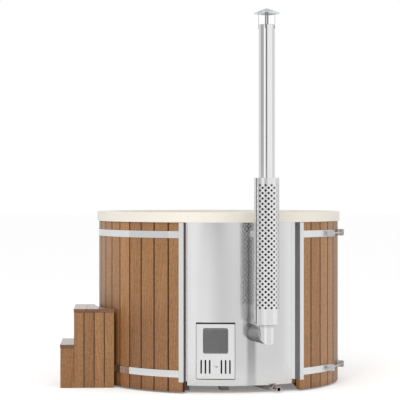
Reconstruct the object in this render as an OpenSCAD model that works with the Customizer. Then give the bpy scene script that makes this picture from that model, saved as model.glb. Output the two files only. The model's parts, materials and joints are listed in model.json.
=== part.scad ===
// Round wooden hot tub with a built-in wood stove, an outside chimney and a pair of steps.
// The origin is on the ground at the centre of the tub, and +Z is up.
// Angles round the tub are measured from -Y, the stove side, towards +X.

/* [Tub] */
// Radius to the outer face of the cladding boards
tub_r = 812; // [780:1:860]
// Height of the top of the rim above the ground
tub_h = 1148; // [1100:1:1250]
// Height of the rim's outer band
rim_h = 64; // [50:1:80]
// How far the rim stands out past the boards
rim_out = 13; // [11:1:20]
// Wall thickness of the moulded liner
shell_t = 8; // [6:1:10]
// Radius of the bath above the bench
bath_r = 735; // [700:1:740]
// Radius of the foot well inside the bench
well_r = 445; // [400:1:480]
// Height of the bench seat above the ground
bench_h = 540; // [480:1:580]
// Height of the liner's floor above the ground
bath_floor_h = 118; // [112:1:140]
// Distance from the centre to the wall in front of the stove
bulkhead_x = 350; // [320:1:360]

/* [Cladding] */
// Number of boards from one side of the stove opening round to the other
board_count = 42; // [36:3:48]
// Thickness of one board
board_t = 22; // [18:1:26]
// Gap left between two boards
board_gap = 2; // [1:0.1:3]
// Bevel along a board's outer edges
board_bevel = 3; // [1:0.5:4]
// Height of the lower end of the boards above the ground
board_foot = 10; // [8:1:30]

/* [Stove opening] */
// Angle of the middle of the opening
front_a = 8.5; // [6:0.5:10]
// Half the angle that the opening takes
front_half = 28; // [27:0.5:30]
// Radius of the steel front panel
panel_r = 770; // [766:1:772]
// Sheet thickness of the front panel
panel_t = 2; // [1.5:0.5:2.5]
// Height of the panel's lower edge above the ground
panel_foot = 48; // [44:1:60]
// Width of the steel angle that covers the boards' ends
trim_w = 30; // [25:1:40]
// Thickness of the steel angle
trim_t = 2.5; // [2:0.5:3]
// Height of the angles' lower end above the ground
trim_foot = 72; // [60:1:90]

/* [Bands] */
// Width of a steel band
band_w = 45; // [35:1:50]
// Thickness of a steel band
band_t = 2; // [1.5:0.5:2.5]
// Height of the lower edge of the upper band
upper_band_z = 984; // [900:1:1000]
// Height of the lower edge of the lower band
lower_band_z = 101; // [95:1:200]
// Angle of the lug on the short end of a band
lock_a0 = 58.5; // [56:0.5:62]
// Angle of the lug on the long end of a band
lock_a1 = 76.5; // [75:0.5:84]
// How far a lug stands out from the band
lug_h = 42; // [28:1:46]
// Diameter of the tightening bolt
lock_bolt_d = 8; // [6:1:10]

/* [Stove] */
// Angle of the middle of the stove door
door_a = -5; // [-6:0.5:-4]
// Width of the door
door_w = 243; // [230:1:246]
// Height of the door
door_h = 347; // [340:1:350]
// Height of the door's lower edge above the ground
door_z = 93; // [92:1:96]
// Width of the door's window
glass_w = 160; // [140:1:170]
// Height of the door's window
glass_h = 163; // [140:1:170]
// Height of the window's lower edge above the ground
glass_z = 252; // [248:1:256]
// Corner radius of the window
glass_r = 13; // [8:1:20]
// Length of an air slot
slot_h = 88; // [70:1:92]
// Width of an air slot
slot_w = 10; // [8:1:12]
// Distance between neighbouring air slots
slot_pitch = 27; // [26:1:28]
// Distance of the first air slot from the middle of the door
slot_first = 37; // [34:1:38]
// Height of the lower end of the air slots above the ground
slot_z = 125; // [122:1:128]
// Travel of the air slide
slide_travel = 13.5; // [12:0.5:14]

/* [Chimney] */
// Angle of the flue round the tub
flue_a = 13.8; // [13:0.1:14.5]
// Distance of the chimney's axis from the centre of the tub
flue_r = 998; // [980:1:1020]
// Outer diameter of the flue pipe
flue_d = 100; // [90:1:104]
// Sheet thickness of the flue pipe
flue_t = 2; // [1:0.5:2.5]
// Height of the stub's axis above the ground
stub_z = 380; // [370:1:390]
// Height of the top of the pipe above the ground
flue_top = 2313; // [2100:1:2600]
// Distance across the flats of the perforated guard
guard_d = 155; // [148:1:170]
// Height of the guard's lower end above the ground
guard_z = 458; // [450:1:480]
// Length of the guard
guard_h = 906; // [800:1:950]
// Diameter of a hole in the guard
hole_d = 15; // [10:1:15]
// Diameter of the rain cap
cap_d = 157; // [140:1:180]
// Height of the rain cap's brim above the ground
cap_z = 2382; // [2380:1:2450]

/* [Drain] */
// Angle of the drain valve round the tub
drain_a = 24; // [22:1:26]
// Distance of the valve's ball from the centre of the tub
valve_r = 801; // [799:1:806]
// Height of the valve's axis above the ground
valve_z = 24; // [22:1:26]
// Width across the flats of the valve's nuts
valve_flats = 31; // [28:1:33]

/* [Steps] */
// Distance of the steps' outer end from the centre of the tub
step_end_x = 1060; // [1020:1:1120]
// Distance of the steps' front side from the centre of the tub
step_front_y = 455; // [440:1:470]
// Width of the steps
step_w = 440; // [400:1:500]
// Height of the lower tread
step_low_h = 282; // [250:1:300]
// Height of the upper tread
step_high_h = 514; // [480:1:540]
// Depth of the lower tread that is left free
step_run = 89; // [80:1:110]
// Thickness of the treads
tread_t = 22; // [18:1:26]
// Thickness of the side and riser boards
step_board_t = 15; // [12:1:20]
// Space between the steps and the cladding
step_gap = 30; // [8:1:32]

/* [Hidden] */
$fn = 96;

wood = "peru";
steel = "gainsboro";
dark_steel = "dimgray";

// Bearers and floor
bearer_h = 70;
bearer_w = 60;
bearer_pitch = 255;
bearer_reach = 690;
bearer_front = 600;
short_bearer = 425;
plate_t = 18;
plate_top = bearer_h + plate_t;
plate_front_r = panel_r - 8;
rest_gap = 0.2;

// Liner
rim_r = tub_r + rim_out;
bench_edge_r = 30;
bench_back_r = 50;
well_edge_r = 60;
bath_lip = 6;
bulkhead_lip = 4;
bulkhead_foot = 45;
rim_edge_r = 5;
drain_r = 270;
drain_hole_r = 24;

// Cladding
board_arc = 360 - 2 * front_half;
board_pitch = board_arc / board_count;
board_inner_r = tub_r - board_t;
fit_r = board_inner_r * cos(board_pitch / 2) - 0.5;
board_top = tub_h - shell_t - 4;
joint_r = tub_r / cos(board_pitch / 2);
left_edge_a = front_a - front_half;
right_edge_a = front_a + front_half;
ring_w = 36;
ring_h = 34;
ring_z = [590, board_top - ring_h - 2];
post_w = 40;
post_y = 3;
post_x = sqrt(fit_r ^ 2 - (post_y + post_w) ^ 2) - post_w;
post_a = asin((post_w + 2 * post_y) / fit_r);
panel_side_a = asin((trim_t + 1.5) / panel_r);

// Bands and their locks
band_r = tub_r + 2;
band_out_r = band_r + band_t;
band_end_a = asin((trim_w + 0.15) / band_r);
lock_mid_a = (lock_a0 + lock_a1) / 2;
lock_half_a = (lock_a1 - lock_a0) / 2;
lock_y = band_out_r * sin(lock_half_a);
lug_t = 4;
lug_base_t = 3;
lug_base_len = 36;
lug_base_a = 2 * asin(lug_base_len / 2 / band_out_r);
lug_foot_x = band_out_r * cos(lock_half_a) + 1.2;
lock_bolt_x = lug_foot_x + lug_h * 0.6;
lock_rivets = [11, 25];
bracket_r = band_out_r + rest_gap;
rivet_seat_r = bracket_r + lug_base_t;
bolt_spare = 16;
nut_flats = 13;
nut_t = 7;

// Stove, in its own directions: x outwards along the door's angle, y across, z up
stove_x0 = 430;
stove_x1 = 690;
stove_y0 = -150;
stove_y1 = 310;
stove_z0 = plate_top + 4;
stove_z1 = 560;
jacket_t = 20;
mouth_w = 214;
mouth_z0 = stove_z0 + jacket_t;
mouth_z1 = 428;
divider_y = 122;
smoke_y0 = divider_y + jacket_t + 8;
smoke_z0 = 250;
passage_z = 430;
collar_w = 232;
collar_z0 = 99;
collar_z1 = 435;
collar_t = 5;
collar_x1 = 757;
gasket_t = 5.5;
grate_z = 215;
grate_t = 12;
grate_ledge = 10;

// Door, in the same directions
door_x = 766;
door_t = 3;
door_flange_x = door_x - 19;
door_gap = 3;
door_gap_top = 10;
door_gap_low = 5;
hinge_x = door_x - 8;
hinge_z = door_z + 8;
hinge_pin_r = 3;
hinge_fit = 0.05;
arm_t = 2;
arm_y = door_w / 2 - door_t - 0.3;
pane_t = 4;
pane_x = door_x - door_t - 0.5 - pane_t;
pane_lap = 8;
pane_frame_w = 6;
pane_frame_t = 3;
slots_y = [for (side = [-1, 1], k = [0 : 2]) side * (slot_first + k * slot_pitch)];
slide_t = 2;
slide_x = door_x - door_t - 0.5 - slide_t;
slide_y0 = -slot_first - 2 * slot_pitch - slot_w / 2 - slide_travel - 0.5;
slide_y1 = slot_first + 2 * slot_pitch - slot_w / 2 - 0.5;
slide_h = slot_h + 16;
rail_w = collar_w - 13;
slide_z = slot_z - 8;
knob_z = slot_z + slot_h / 2;
knob_d = 13;
knob_slot_h = 5.2;

// Pipes between the stove and the liner, in the opening's own directions
water_pipe_r = 20;
water_pipe_z = [222, 500];
water_pipe_y = -30;
water_pipe_end = 450;
grille_r = 46;

// Chimney
flue_ro = flue_d / 2;
flue_ri = flue_ro - flue_t;
elbow_top = 470;
spigot_h = 36;
pipe_joint_z = 1310;
stub_r0 = 706;
guard_t = 1.5;
guard_cols = 26;
guard_rows = 24;
guard_hole_pitch = 32.9;
guard_hole_z = 562;
guard_turn = 3.3;
guard_corner_r = guard_d / 2 / cos(180 / guard_cols);
guard_side = guard_d / 2;
spacer_z = [guard_z + 24, guard_z + guard_h - 30];
spacer_w = 14;
spacer_t = 1.5;
spacer_len = guard_side - guard_t - flue_ro - 2 * rest_gap;
bracket_z = 1010;
cap_t = 1.5;
cap_h = 33;
cap_crown_r = 24;
cap_turn = -26.4;
cap_lip_h = 5;
cap_dome_r = cap_crown_r + 3;
cap_dome_z = cap_z + cap_h - cap_dome_r;
leg_w = 9.5;
leg_t = 1.5;
leg_lap = 24;
leg_foot = 12;

// Drain
drain_ro = 16;
drain_ri = 12;
drain_bend_r = 36;
valve_ball_r = 11;
valve_seat_gap = 0.3;
valve_bore_r = 8;
valve_len = 52;
outlet_r = 12.1;
outlet_len = 14;
stem_r = 3.5;
handle_z = valve_z + 25;
handle_t = 2.5;

// Steps
step_scribe_r = tub_r + step_gap;
step_back_y = -step_front_y + step_w;
upper_x = step_end_x - step_run;
tread_gap = 1;
batten = 38;
scribed_w = 260;
riser_foot = step_low_h - 60;

// Turns what follows so that x points outwards at angle a round the tub
module around(a) { rotate([0, 0, a - 90]) children(); }

// A ring, or part of one, with a rectangular section
module ring_part(r0, r1, z0, z1, a0, a1) {
  rotate([0, 0, a0 - 90]) rotate_extrude(angle = a1 - a0, $fn = 180)
    translate([r0, z0]) square([r1 - r0, z1 - z0]);
}

// A plate with round corners that stands across x, from x0 to x1
module upright_plate(x0, x1, w, z0, z1, r) {
  translate([x0, 0, 0]) rotate([90, 0, 90]) linear_extrude(x1 - x0) round_rect(w, z0, z1, r);
}

// A rectangle w wide and from z0 to z1 high, with corners of radius r
module round_rect(w, z0, z1, r) {
  square_w = w - 2 * r;
  translate([-square_w / 2, z0]) square([square_w, z1 - z0]);
  translate([-w / 2, z0 + r]) square([w, z1 - z0 - 2 * r]);
  for (y = [-square_w / 2, square_w / 2], z = [z0 + r, z1 - r]) translate([y, z]) circle(r, $fn = 32);
}

// Points of an arc about [x, y] from angle a0 to a1
function arc_points(x, y, r, a0, a1, n = 6) =
  [for (i = [0 : n]) [x, y] + r * [cos(a0 + (a1 - a0) * i / n), sin(a0 + (a1 - a0) * i / n)]];

function turned(p, a) = [p.x * cos(a) - p.y * sin(a), p.x * sin(a) + p.y * cos(a)];

function reversed(list) = [for (i = [len(list) - 1 : -1 : 0]) list[i]];

// Base

module base_bearers() {
  color("burlywood")
  for (i = [-2 : 2]) {
    x = i * bearer_pitch;
    back = sqrt(bearer_reach ^ 2 - x ^ 2);
    front = min(back, i == 1 ? short_bearer : bearer_front);
    translate([x - bearer_w / 2, -front, 0]) cube([bearer_w, front + back, bearer_h]);
  }
}

module floor_plate() {
  color("burlywood")
  difference() {
    translate([0, 0, bearer_h]) cylinder(r = fit_r, h = plate_t, $fn = 180);
    ring_part(plate_front_r, tub_r, bearer_h - 1, plate_top + 1,
      left_edge_a - panel_side_a, right_edge_a + panel_side_a);
    around(drain_a) translate([drain_r, 0, bearer_h - 1]) cylinder(r = drain_hole_r + 6, h = plate_t + 2);
  }
}

module floor_insulation() {
  color("khaki")
  difference() {
    translate([0, 0, plate_top + rest_gap])
      cylinder(r = well_r - 20, h = bath_floor_h - shell_t - plate_top - 2 * rest_gap);
    around(front_a) translate([bulkhead_x - 20, -tub_r, plate_top - 1]) cube([tub_r, 2 * tub_r, 60]);
    around(drain_a) translate([drain_r, 0, plate_top - 1]) cylinder(r = drain_hole_r + 6, h = 60);
  }
}

// Liner: a moulded bath with a bench round it, a flat wall in front of the stove and a wide rim

// Section of the bath from its axis outwards, grown by t
function bath_section(t) = concat(
  [[0, bath_floor_h - t]],
  arc_points(well_r - well_edge_r, bath_floor_h + well_edge_r, well_edge_r + t, -90, 0),
  arc_points(well_r + bench_edge_r, bench_h - bench_edge_r, bench_edge_r - t, 180, 90),
  arc_points(bath_r - bench_back_r, bench_h + bench_back_r, bench_back_r + t, -90, 0));

module bath_cavity() {
  intersection() {
    rotate_extrude($fn = 180) polygon(concat(
      bath_section(0),
      [[bath_r, tub_h - bath_lip], [bath_r + bath_lip + 10, tub_h + 10], [0, tub_h + 10]]));
    bulkhead_side(0, [[bulkhead_x, tub_h - bulkhead_lip], [bulkhead_x + bulkhead_lip + 10, tub_h + 10],
      [-tub_r, tub_h + 10]]);
  }
}

// The space behind the flat wall, grown by t, with its upper end given as points
module bulkhead_side(t, top) {
  bevel = bulkhead_foot - t * (sqrt(2) - 1);
  around(front_a) rotate([90, 0, 0]) linear_extrude(2 * tub_r, center = true) polygon(concat(
    [[-tub_r, bath_floor_h - t - 1], [bulkhead_x - bevel - 1, bath_floor_h - t - 1],
      [bulkhead_x + t, bath_floor_h + bevel]],
    top));
}

module liner() {
  deck_z = tub_h - shell_t;
  color("ivory")
  difference() {
    union() {
      intersection() {
        rotate_extrude($fn = 180) polygon(concat(
          bath_section(shell_t), [[bath_r + shell_t, deck_z + 1], [0, deck_z + 1]]));
        bulkhead_side(shell_t, [[bulkhead_x + shell_t, tub_h], [-tub_r, tub_h]]);
      }
      rotate_extrude($fn = 180) polygon(concat(
        [[0, deck_z], [rim_r - shell_t, deck_z], [rim_r - shell_t, tub_h - rim_h],
          [rim_r, tub_h - rim_h]],
        arc_points(rim_r - rim_edge_r, tub_h - rim_edge_r, rim_edge_r, 0, 90),
        [[0, tub_h]]));
    }
    bath_cavity();
    around(drain_a) translate([drain_r, 0, 0]) cylinder(r = drain_hole_r, h = 200);
    around(front_a) for (z = water_pipe_z)
      translate([bulkhead_x - 10, water_pipe_y, z]) rotate([0, 90, 0])
        cylinder(r = water_pipe_r + 0.3, h = shell_t + 20);
  }
}

module drain_strainer() {
  strainer_r = 40;
  ring_r = [14, 26];
  color(steel)
  around(drain_a) translate([drain_r, 0, bath_floor_h + rest_gap]) difference() {
    cylinder(r1 = strainer_r, r2 = strainer_r - 4, h = 4);
    for (k = [0, 1], i = [0 : 6 + 6 * k])
      rotate([0, 0, i * 360 / (7 + 6 * k)]) translate([ring_r[k], 0, -1]) cylinder(r = 3, h = 6, $fn = 16);
  }
}

// Frame inside the cladding

module support_rings() {
  color("burlywood")
  for (z = ring_z)
    ring_part(fit_r - ring_w, fit_r, z, z + ring_h,
      right_edge_a + post_a, left_edge_a + 360 - post_a);
}

module opening_posts() {
  color("burlywood")
  for (side = [-1, 1])
    around(front_a + side * front_half)
      translate([post_x, side > 0 ? post_y : -post_y - post_w, plate_top + rest_gap])
        cube([post_w, post_w, board_top - plate_top - rest_gap]);
}

module panel_header() {
  color(dark_steel)
  ring_part(panel_r - panel_t - 26, panel_r - panel_t - 0.5, board_top - 40, board_top,
    left_edge_a + panel_side_a + 0.5, right_edge_a - panel_side_a - 0.5);
}

// Boards with a tongue on one side and a groove on the other, each bevelled outside

tongue = [[joint_r - board_bevel - 1, 0], [tub_r - 8, 0], [tub_r - 9, 4.5], [tub_r - 12, 4.5],
  [tub_r - 13, 0], [board_inner_r, 0]];
groove = [[joint_r - board_bevel - 1, 0], [tub_r - 7, 0], [tub_r - 7.8, 6], [tub_r - 13.2, 6],
  [tub_r - 14, 0], [board_inner_r, 0]];
board_face_w = tub_r * tan(board_pitch / 2) - board_gap / 2 - board_bevel;
plain_edge = [tongue[0], tongue[5]];

// Outline of one board, whose side at the larger angle follows the given edge
function board_outline(edge) = concat(
  [[tub_r, -board_face_w], [tub_r, board_face_w]],
  [for (p = edge) turned([p.x, p.y - board_gap / 2], board_pitch / 2)],
  reversed([for (p = groove) turned([p.x, p.y + board_gap / 2], -board_pitch / 2)]));

module staves(first, last) {
  color(wood)
  for (i = [first : last])
    around(right_edge_a + (i + 0.5) * board_pitch)
      translate([0, 0, board_foot]) linear_extrude(board_top - board_foot)
        polygon(board_outline(i == board_count - 1 ? plain_edge : tongue));
}

module staves_right() { staves(0, board_count / 3 - 1); }
module staves_back() { staves(board_count / 3, board_count * 2 / 3 - 1); }
module staves_left() { staves(board_count * 2 / 3, board_count - 1); }

// Bands: a long strap round the back and a short one, drawn together by a bolt

module band(z) {
  color(steel) {
    ring_part(band_r, band_out_r, z, z + band_w, right_edge_a + band_end_a, lock_a0 + lug_base_a);
    ring_part(band_r, band_out_r, z, z + band_w, lock_a1 - lug_base_a, left_edge_a + 360 - band_end_a);
  }
}

module upper_band() { band(upper_band_z); }
module lower_band() { band(lower_band_z); }

// A folded bracket on each end of a band, with a lug that stands out
module lock_brackets(z) {
  color("silver")
  for (side = [-1, 1]) difference() {
    union() {
      intersection() {
        ring_part(bracket_r, bracket_r + lug_base_t, z + 1, z + band_w - 1, lock_a0 - 1, lock_a1 + 1);
        around(lock_mid_a) translate([0, side * (lock_y - lug_base_len / 2), z])
          translate([0, -lug_base_len / 2, 0]) cube([tub_r * 2, lug_base_len, band_w]);
      }
      around(lock_mid_a) translate([lug_foot_x, side * (lock_y - lug_t / 2), z + band_w / 2])
        rotate([90, 0, 0]) linear_extrude(lug_t, center = true) {
          translate([0, 1 - band_w / 2]) square([lug_h - 8, band_w - 2]);
          translate([lug_h - 9, 9 - band_w / 2]) square([9, band_w - 18]);
          for (s = [-1, 1]) translate([lug_h - 8, s * (band_w / 2 - 9)]) circle(8, $fn = 32);
        }
    }
    around(lock_mid_a) translate([lock_bolt_x, 0, z + band_w / 2]) rotate([90, 0, 0])
      cylinder(d = lock_bolt_d + 1, h = 4 * lock_y, center = true, $fn = 32);
    for (k = lock_rivets) at_rivet(z, side, k) translate([0, 0, -tub_r]) cylinder(r = 2.6, h = 2 * tub_r);
  }
}

// Puts what follows on a bracket's face, with z outwards, where a rivet sits
module at_rivet(z, side, k) {
  around(lock_mid_a + side * asin((lock_y - k) / rivet_seat_r))
    translate([rivet_seat_r, 0, z + band_w / 2 - side * (k - 18)]) rotate([0, 90, 0]) children();
}

module upper_lock_brackets() { lock_brackets(upper_band_z); }
module lower_lock_brackets() { lock_brackets(lower_band_z); }

module at_locks() {
  for (z = [upper_band_z, lower_band_z])
    around(lock_mid_a) translate([lock_bolt_x, 0, z + band_w / 2]) children();
}

module lock_bolts() {
  shank = 2 * lock_y + nut_t + bolt_spare;
  color(dark_steel)
  at_locks() {
    translate([0, -lock_y - 0.2, 0]) rotate([-90, 0, 0]) cylinder(d = lock_bolt_d, h = shank);
    translate([0, -lock_y - 0.2, 0]) rotate([90, 0, 0]) cylinder(d = nut_flats / cos(30), h = nut_t, $fn = 6);
  }
}

module lock_nuts() {
  color("silver")
  at_locks() translate([0, lock_y + 0.2, 0]) rotate([-90, 0, 0]) difference() {
    cylinder(d = nut_flats / cos(30), h = nut_t, $fn = 6);
    translate([0, 0, -1]) cylinder(d = lock_bolt_d + 0.1, h = nut_t + 2);
  }
}

// Rivets that hold the lock brackets to the bands' ends
module band_rivets() {
  color(dark_steel)
  for (z = [upper_band_z, lower_band_z], side = [-1, 1], k = lock_rivets) at_rivet(z, side, k) {
    translate([0, 0, rest_gap]) cylinder(r1 = 5, r2 = 3, h = 2.4);
    translate([0, 0, -lug_base_t]) cylinder(r = 2.4, h = lug_base_t + 1);
  }
}

// Opening for the stove

// Steel angle with one leg on the boards and one leg into the opening
module trim(side) {
  leg_r = panel_r - panel_t - 4;
  top = tub_h - rim_h - 2;
  color("whitesmoke")
  around(front_a + side * front_half) mirror([0, side < 0 ? 1 : 0, 0]) translate([0, 0, trim_foot]) {
    translate([band_r, -trim_t, 0]) cube([trim_t, trim_w + trim_t, top - trim_foot]);
    translate([leg_r, -trim_t, 0]) cube([band_r - leg_r + 1, trim_t, top - trim_foot]);
  }
}

module trim_left() { trim(-1); }
module trim_right() { trim(1); }

module front_panel() {
  color(steel)
  difference() {
    ring_part(panel_r - panel_t, panel_r, panel_foot, board_top,
      left_edge_a + panel_side_a, right_edge_a - panel_side_a);
    around(door_a) upright_plate(panel_r - 60, panel_r + 20, door_w + 2 * door_gap,
      door_z - door_gap_low, door_z + door_h + door_gap_top, 2);
    around(flue_a) translate([panel_r - 60, 0, stub_z]) rotate([0, 90, 0]) cylinder(r = flue_ro + 1, h = 100);
  }
}

// Stove: a water jacket round the firebox, with a smoke channel beside it

module stove_body() {
  color(dark_steel)
  difference() {
    around(door_a) difference() {
      translate([stove_x0, stove_y0, stove_z0])
        cube([stove_x1 - stove_x0, stove_y1 - stove_y0, stove_z1 - stove_z0]);
      difference() {
        translate([stove_x0 + jacket_t, stove_y0 + jacket_t, mouth_z0])
          cube([stove_x1 - stove_x0 - 2 * jacket_t, divider_y - stove_y0 - jacket_t,
            stove_z1 - jacket_t - mouth_z0]);
        for (y = [stove_y0 + jacket_t, divider_y - grate_ledge])
          translate([stove_x0 + jacket_t, y, grate_z - rest_gap - grate_ledge])
            cube([stove_x1 - stove_x0 - 2 * jacket_t, grate_ledge, grate_ledge]);
      }
      translate([stove_x1 - jacket_t - 1, -mouth_w / 2, mouth_z0])
        cube([jacket_t + 2, mouth_w, mouth_z1 - mouth_z0]);
      translate([stove_x0 + jacket_t, smoke_y0, smoke_z0])
        cube([stove_x1 - stove_x0 - 2 * jacket_t, stove_y1 - jacket_t - smoke_y0,
          stove_z1 - jacket_t - smoke_z0]);
      translate([stove_x0 + 50, divider_y - 1, passage_z])
        cube([160, smoke_y0 - divider_y + 2, stove_z1 - jacket_t - passage_z]);
    }
    around(flue_a) translate([stub_r0 - 60, 0, stub_z]) rotate([0, 90, 0]) cylinder(r = flue_ro + 0.5, h = 120);
    around(front_a) for (z = water_pipe_z)
      translate([bulkhead_x, water_pipe_y, z]) rotate([0, 90, 0])
        cylinder(r = water_pipe_r + 0.3, h = water_pipe_end + 0.5 - bulkhead_x);
  }
}

module hearth_plate() {
  color("gray")
  around(door_a) translate([stove_x0 + 6, stove_y0, plate_top + rest_gap])
    cube([stove_x1 - stove_x0 - 6, stove_y1 - stove_y0 - 10, stove_z0 - plate_top - 2 * rest_gap]);
}

module fire_grate() {
  bars = 11;
  len = stove_x1 - stove_x0 - 2 * jacket_t - 4;
  w = divider_y - stove_y0 - jacket_t - 4;
  pitch = (w - 16) / bars;
  color("black")
  around(door_a) translate([stove_x0 + jacket_t + 2, stove_y0 + jacket_t + 2, grate_z]) difference() {
    cube([len, w, grate_t]);
    for (i = [0 : bars - 1])
      translate([12, 8 + pitch * (i + 0.25), -1]) cube([len - 24, pitch / 2, grate_t + 2]);
  }
}

module ash_pan() {
  len = stove_x1 - stove_x0 - 2 * jacket_t - 12;
  w = mouth_w - 14;
  h = grate_z - mouth_z0 - 22;
  color(dark_steel)
  around(door_a) translate([stove_x0 + jacket_t + 6, -w / 2, mouth_z0 + rest_gap]) difference() {
    cube([len, w, h]);
    translate([2, 2, 2]) cube([len - 4, w - 4, h]);
  }
}

module door_collar() {
  color(dark_steel)
  around(door_a) difference() {
    upright_plate(stove_x1 + rest_gap, collar_x1, collar_w, collar_z0, collar_z1, 6);
    upright_plate(stove_x1 - 1, collar_x1 + 1, collar_w - 2 * collar_t, collar_z0 + collar_t,
      collar_z1 - collar_t, 4);
  }
}

module door_gasket() {
  color("dimgray")
  around(door_a) difference() {
    upright_plate(collar_x1 + rest_gap, collar_x1 + gasket_t, collar_w - 2, collar_z0 + 1, collar_z1 - 1, 5);
    upright_plate(collar_x1 - 1, collar_x1 + gasket_t + 1, collar_w - 2 * collar_t - 1,
      collar_z0 + collar_t + 0.5, collar_z1 - collar_t - 0.5, 3.5);
  }
}

// A fixed arm inside each lower corner of the door, with the pin that the door turns on
module hinge_arms() {
  nose_r = 4.2;
  arm_root = 40;
  color(steel)
  around(door_a) for (side = [-1, 1]) mirror([0, side < 0 ? 1 : 0, 0]) {
    translate([0, arm_y - arm_t, 0]) {
      translate([hinge_x, 0, hinge_z]) rotate([-90, 0, 0]) cylinder(r = nose_r, h = arm_t, $fn = 32);
      translate([stove_x1 + rest_gap, 0, hinge_z]) cube([hinge_x - stove_x1 - rest_gap, arm_t, nose_r]);
      translate([stove_x1 + rest_gap, 0, hinge_z]) cube([arm_root, arm_t, arm_root]);
    }
    translate([hinge_x, arm_y - 0.5, hinge_z]) rotate([-90, 0, 0])
      cylinder(r = hinge_pin_r, h = door_w / 2 - arm_y + 0.5, $fn = 32);
  }
}

module water_pipes() {
  color(steel)
  around(front_a) for (z = water_pipe_z) translate([bulkhead_x, water_pipe_y, z]) rotate([0, 90, 0]) difference() {
    union() {
      cylinder(r = water_pipe_r, h = water_pipe_end - bulkhead_x);
      translate([0, 0, shell_t + 0.3]) cylinder(d = 58, h = 8, $fn = 6);
    }
    translate([0, 0, -1]) cylinder(r = water_pipe_r - 2.5, h = water_pipe_end - bulkhead_x + 2);
  }
}

module inlet_grilles() {
  color("white")
  around(front_a) for (z = water_pipe_z) translate([bulkhead_x - 0.3, water_pipe_y, z]) rotate([0, -90, 0])
    difference() {
      cylinder(r1 = grille_r, r2 = grille_r - 5, h = 7);
      translate([0, 0, -1]) cylinder(r = water_pipe_r + 2, h = 5);
      for (ring = [0 : 1], i = [0 : 5 + 6 * ring])
        rotate([0, 0, i * 60 / (1 + ring)]) translate([8 + 10 * ring, 0, -1])
          cylinder(r = 2.5, h = 10, $fn = 16);
    }
}

// Chimney

// Round bar that turns from the stub up into the chimney at a mitre
module mitred_bar(r, start, top) {
  translate([flue_r, 0, stub_z]) {
    intersection() {
      translate([start - flue_r, 0, 0]) rotate([0, 90, 0]) cylinder(r = r, h = flue_r - start + 2 * r);
      rotate([0, -45, 0]) translate([-600, -300, -300]) cube([600, 600, 600]);
    }
    intersection() {
      translate([0, 0, -2 * r]) cylinder(r = r, h = top - stub_z + 2 * r);
      rotate([0, -45, 0]) translate([0, -300, -300]) cube([600, 600, 600]);
    }
  }
}

module flue_elbow() {
  color(steel)
  around(flue_a) difference() {
    union() {
      mitred_bar(flue_ro, stub_r0, elbow_top);
      translate([flue_r, 0, elbow_top - 1]) cylinder(r = flue_ri - 0.2, h = spigot_h);
    }
    mitred_bar(flue_ri - 2, stub_r0 - 1, elbow_top + spigot_h + 1);
  }
}

module flue_pipe(z0, z1, spigot) {
  color(steel)
  around(flue_a) translate([flue_r, 0, 0]) difference() {
    union() {
      translate([0, 0, z0]) cylinder(r = flue_ro, h = z1 - z0);
      if (spigot > 0) translate([0, 0, z1 - 1]) cylinder(r = flue_ri - 0.2, h = spigot + 1);
    }
    translate([0, 0, z0 - 1]) cylinder(r = flue_ri, h = z1 - z0 - (spigot > 0 ? 8 : -2));
    translate([0, 0, z0]) cylinder(r = flue_ri - 2, h = z1 - z0 + spigot + 2);
  }
}

module flue_pipe_lower() { flue_pipe(elbow_top + 0.3, pipe_joint_z, spigot_h); }
module flue_pipe_upper() { flue_pipe(pipe_joint_z + 0.3, flue_top, 0); }

// Perforated guard folded from sheet, with one column of holes in each flat
module chimney_guard() {
  corners = [for (i = [0 : guard_cols - 1]) (i + 0.5) * 360 / guard_cols];
  inner_r = guard_corner_r * (guard_side - guard_t) / guard_side;
  color(steel)
  at_guard() difference() {
    translate([0, 0, guard_z]) linear_extrude(guard_h) difference() {
      polygon([for (a = corners) guard_corner_r * [cos(a), sin(a)]]);
      polygon([for (a = corners) inner_r * [cos(a), sin(a)]]);
    }
    for (col = [0 : guard_cols - 1], row = [0 : guard_rows - 1 - col % 2])
      translate([0, 0, guard_hole_z + (row + (col % 2) / 2) * guard_hole_pitch])
        rotate([0, 0, col * 360 / guard_cols]) translate([guard_side - 5, 0, 0]) rotate([0, 90, 0])
          cylinder(d = hole_d, h = 8, $fn = 16);
  }
}

// Moves what follows to the chimney, with x towards the middle of a flat of the guard
module at_guard() {
  around(flue_a) translate([flue_r, 0, 0]) rotate([0, 0, guard_turn]) children();
}

module guard_spacers() {
  color(steel)
  at_guard() for (z = spacer_z, k = [1, 3, 5]) rotate([0, 0, round(guard_cols * k / 6) * 360 / guard_cols]) {
    translate([flue_ro + rest_gap, -spacer_w / 2, z]) {
      cube([spacer_len, spacer_w, spacer_t]);
      cube([spacer_t, spacer_w, spacer_w]);
      translate([spacer_len - spacer_t, 0, 0]) cube([spacer_t, spacer_w, spacer_w]);
    }
  }
}

// Stay between the front panel and the guard, with a foot at each end
module guard_bracket() {
  h = 40;
  foot_t = 3;
  front = flue_r - guard_corner_r - rest_gap;
  back = panel_r + rest_gap;
  color(steel)
  around(flue_a) translate([0, 0, bracket_z - h / 2]) {
    translate([back, -30, 0]) cube([foot_t, 60, h]);
    translate([front - foot_t, -7, 0]) cube([foot_t, 14, h]);
    translate([back + 1, -foot_t, h / 5]) cube([front - back - 2, 2 * foot_t, 3 * h / 5]);
  }
}

// Cap: a low conical hat with a turned-down lip and a round crown

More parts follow.
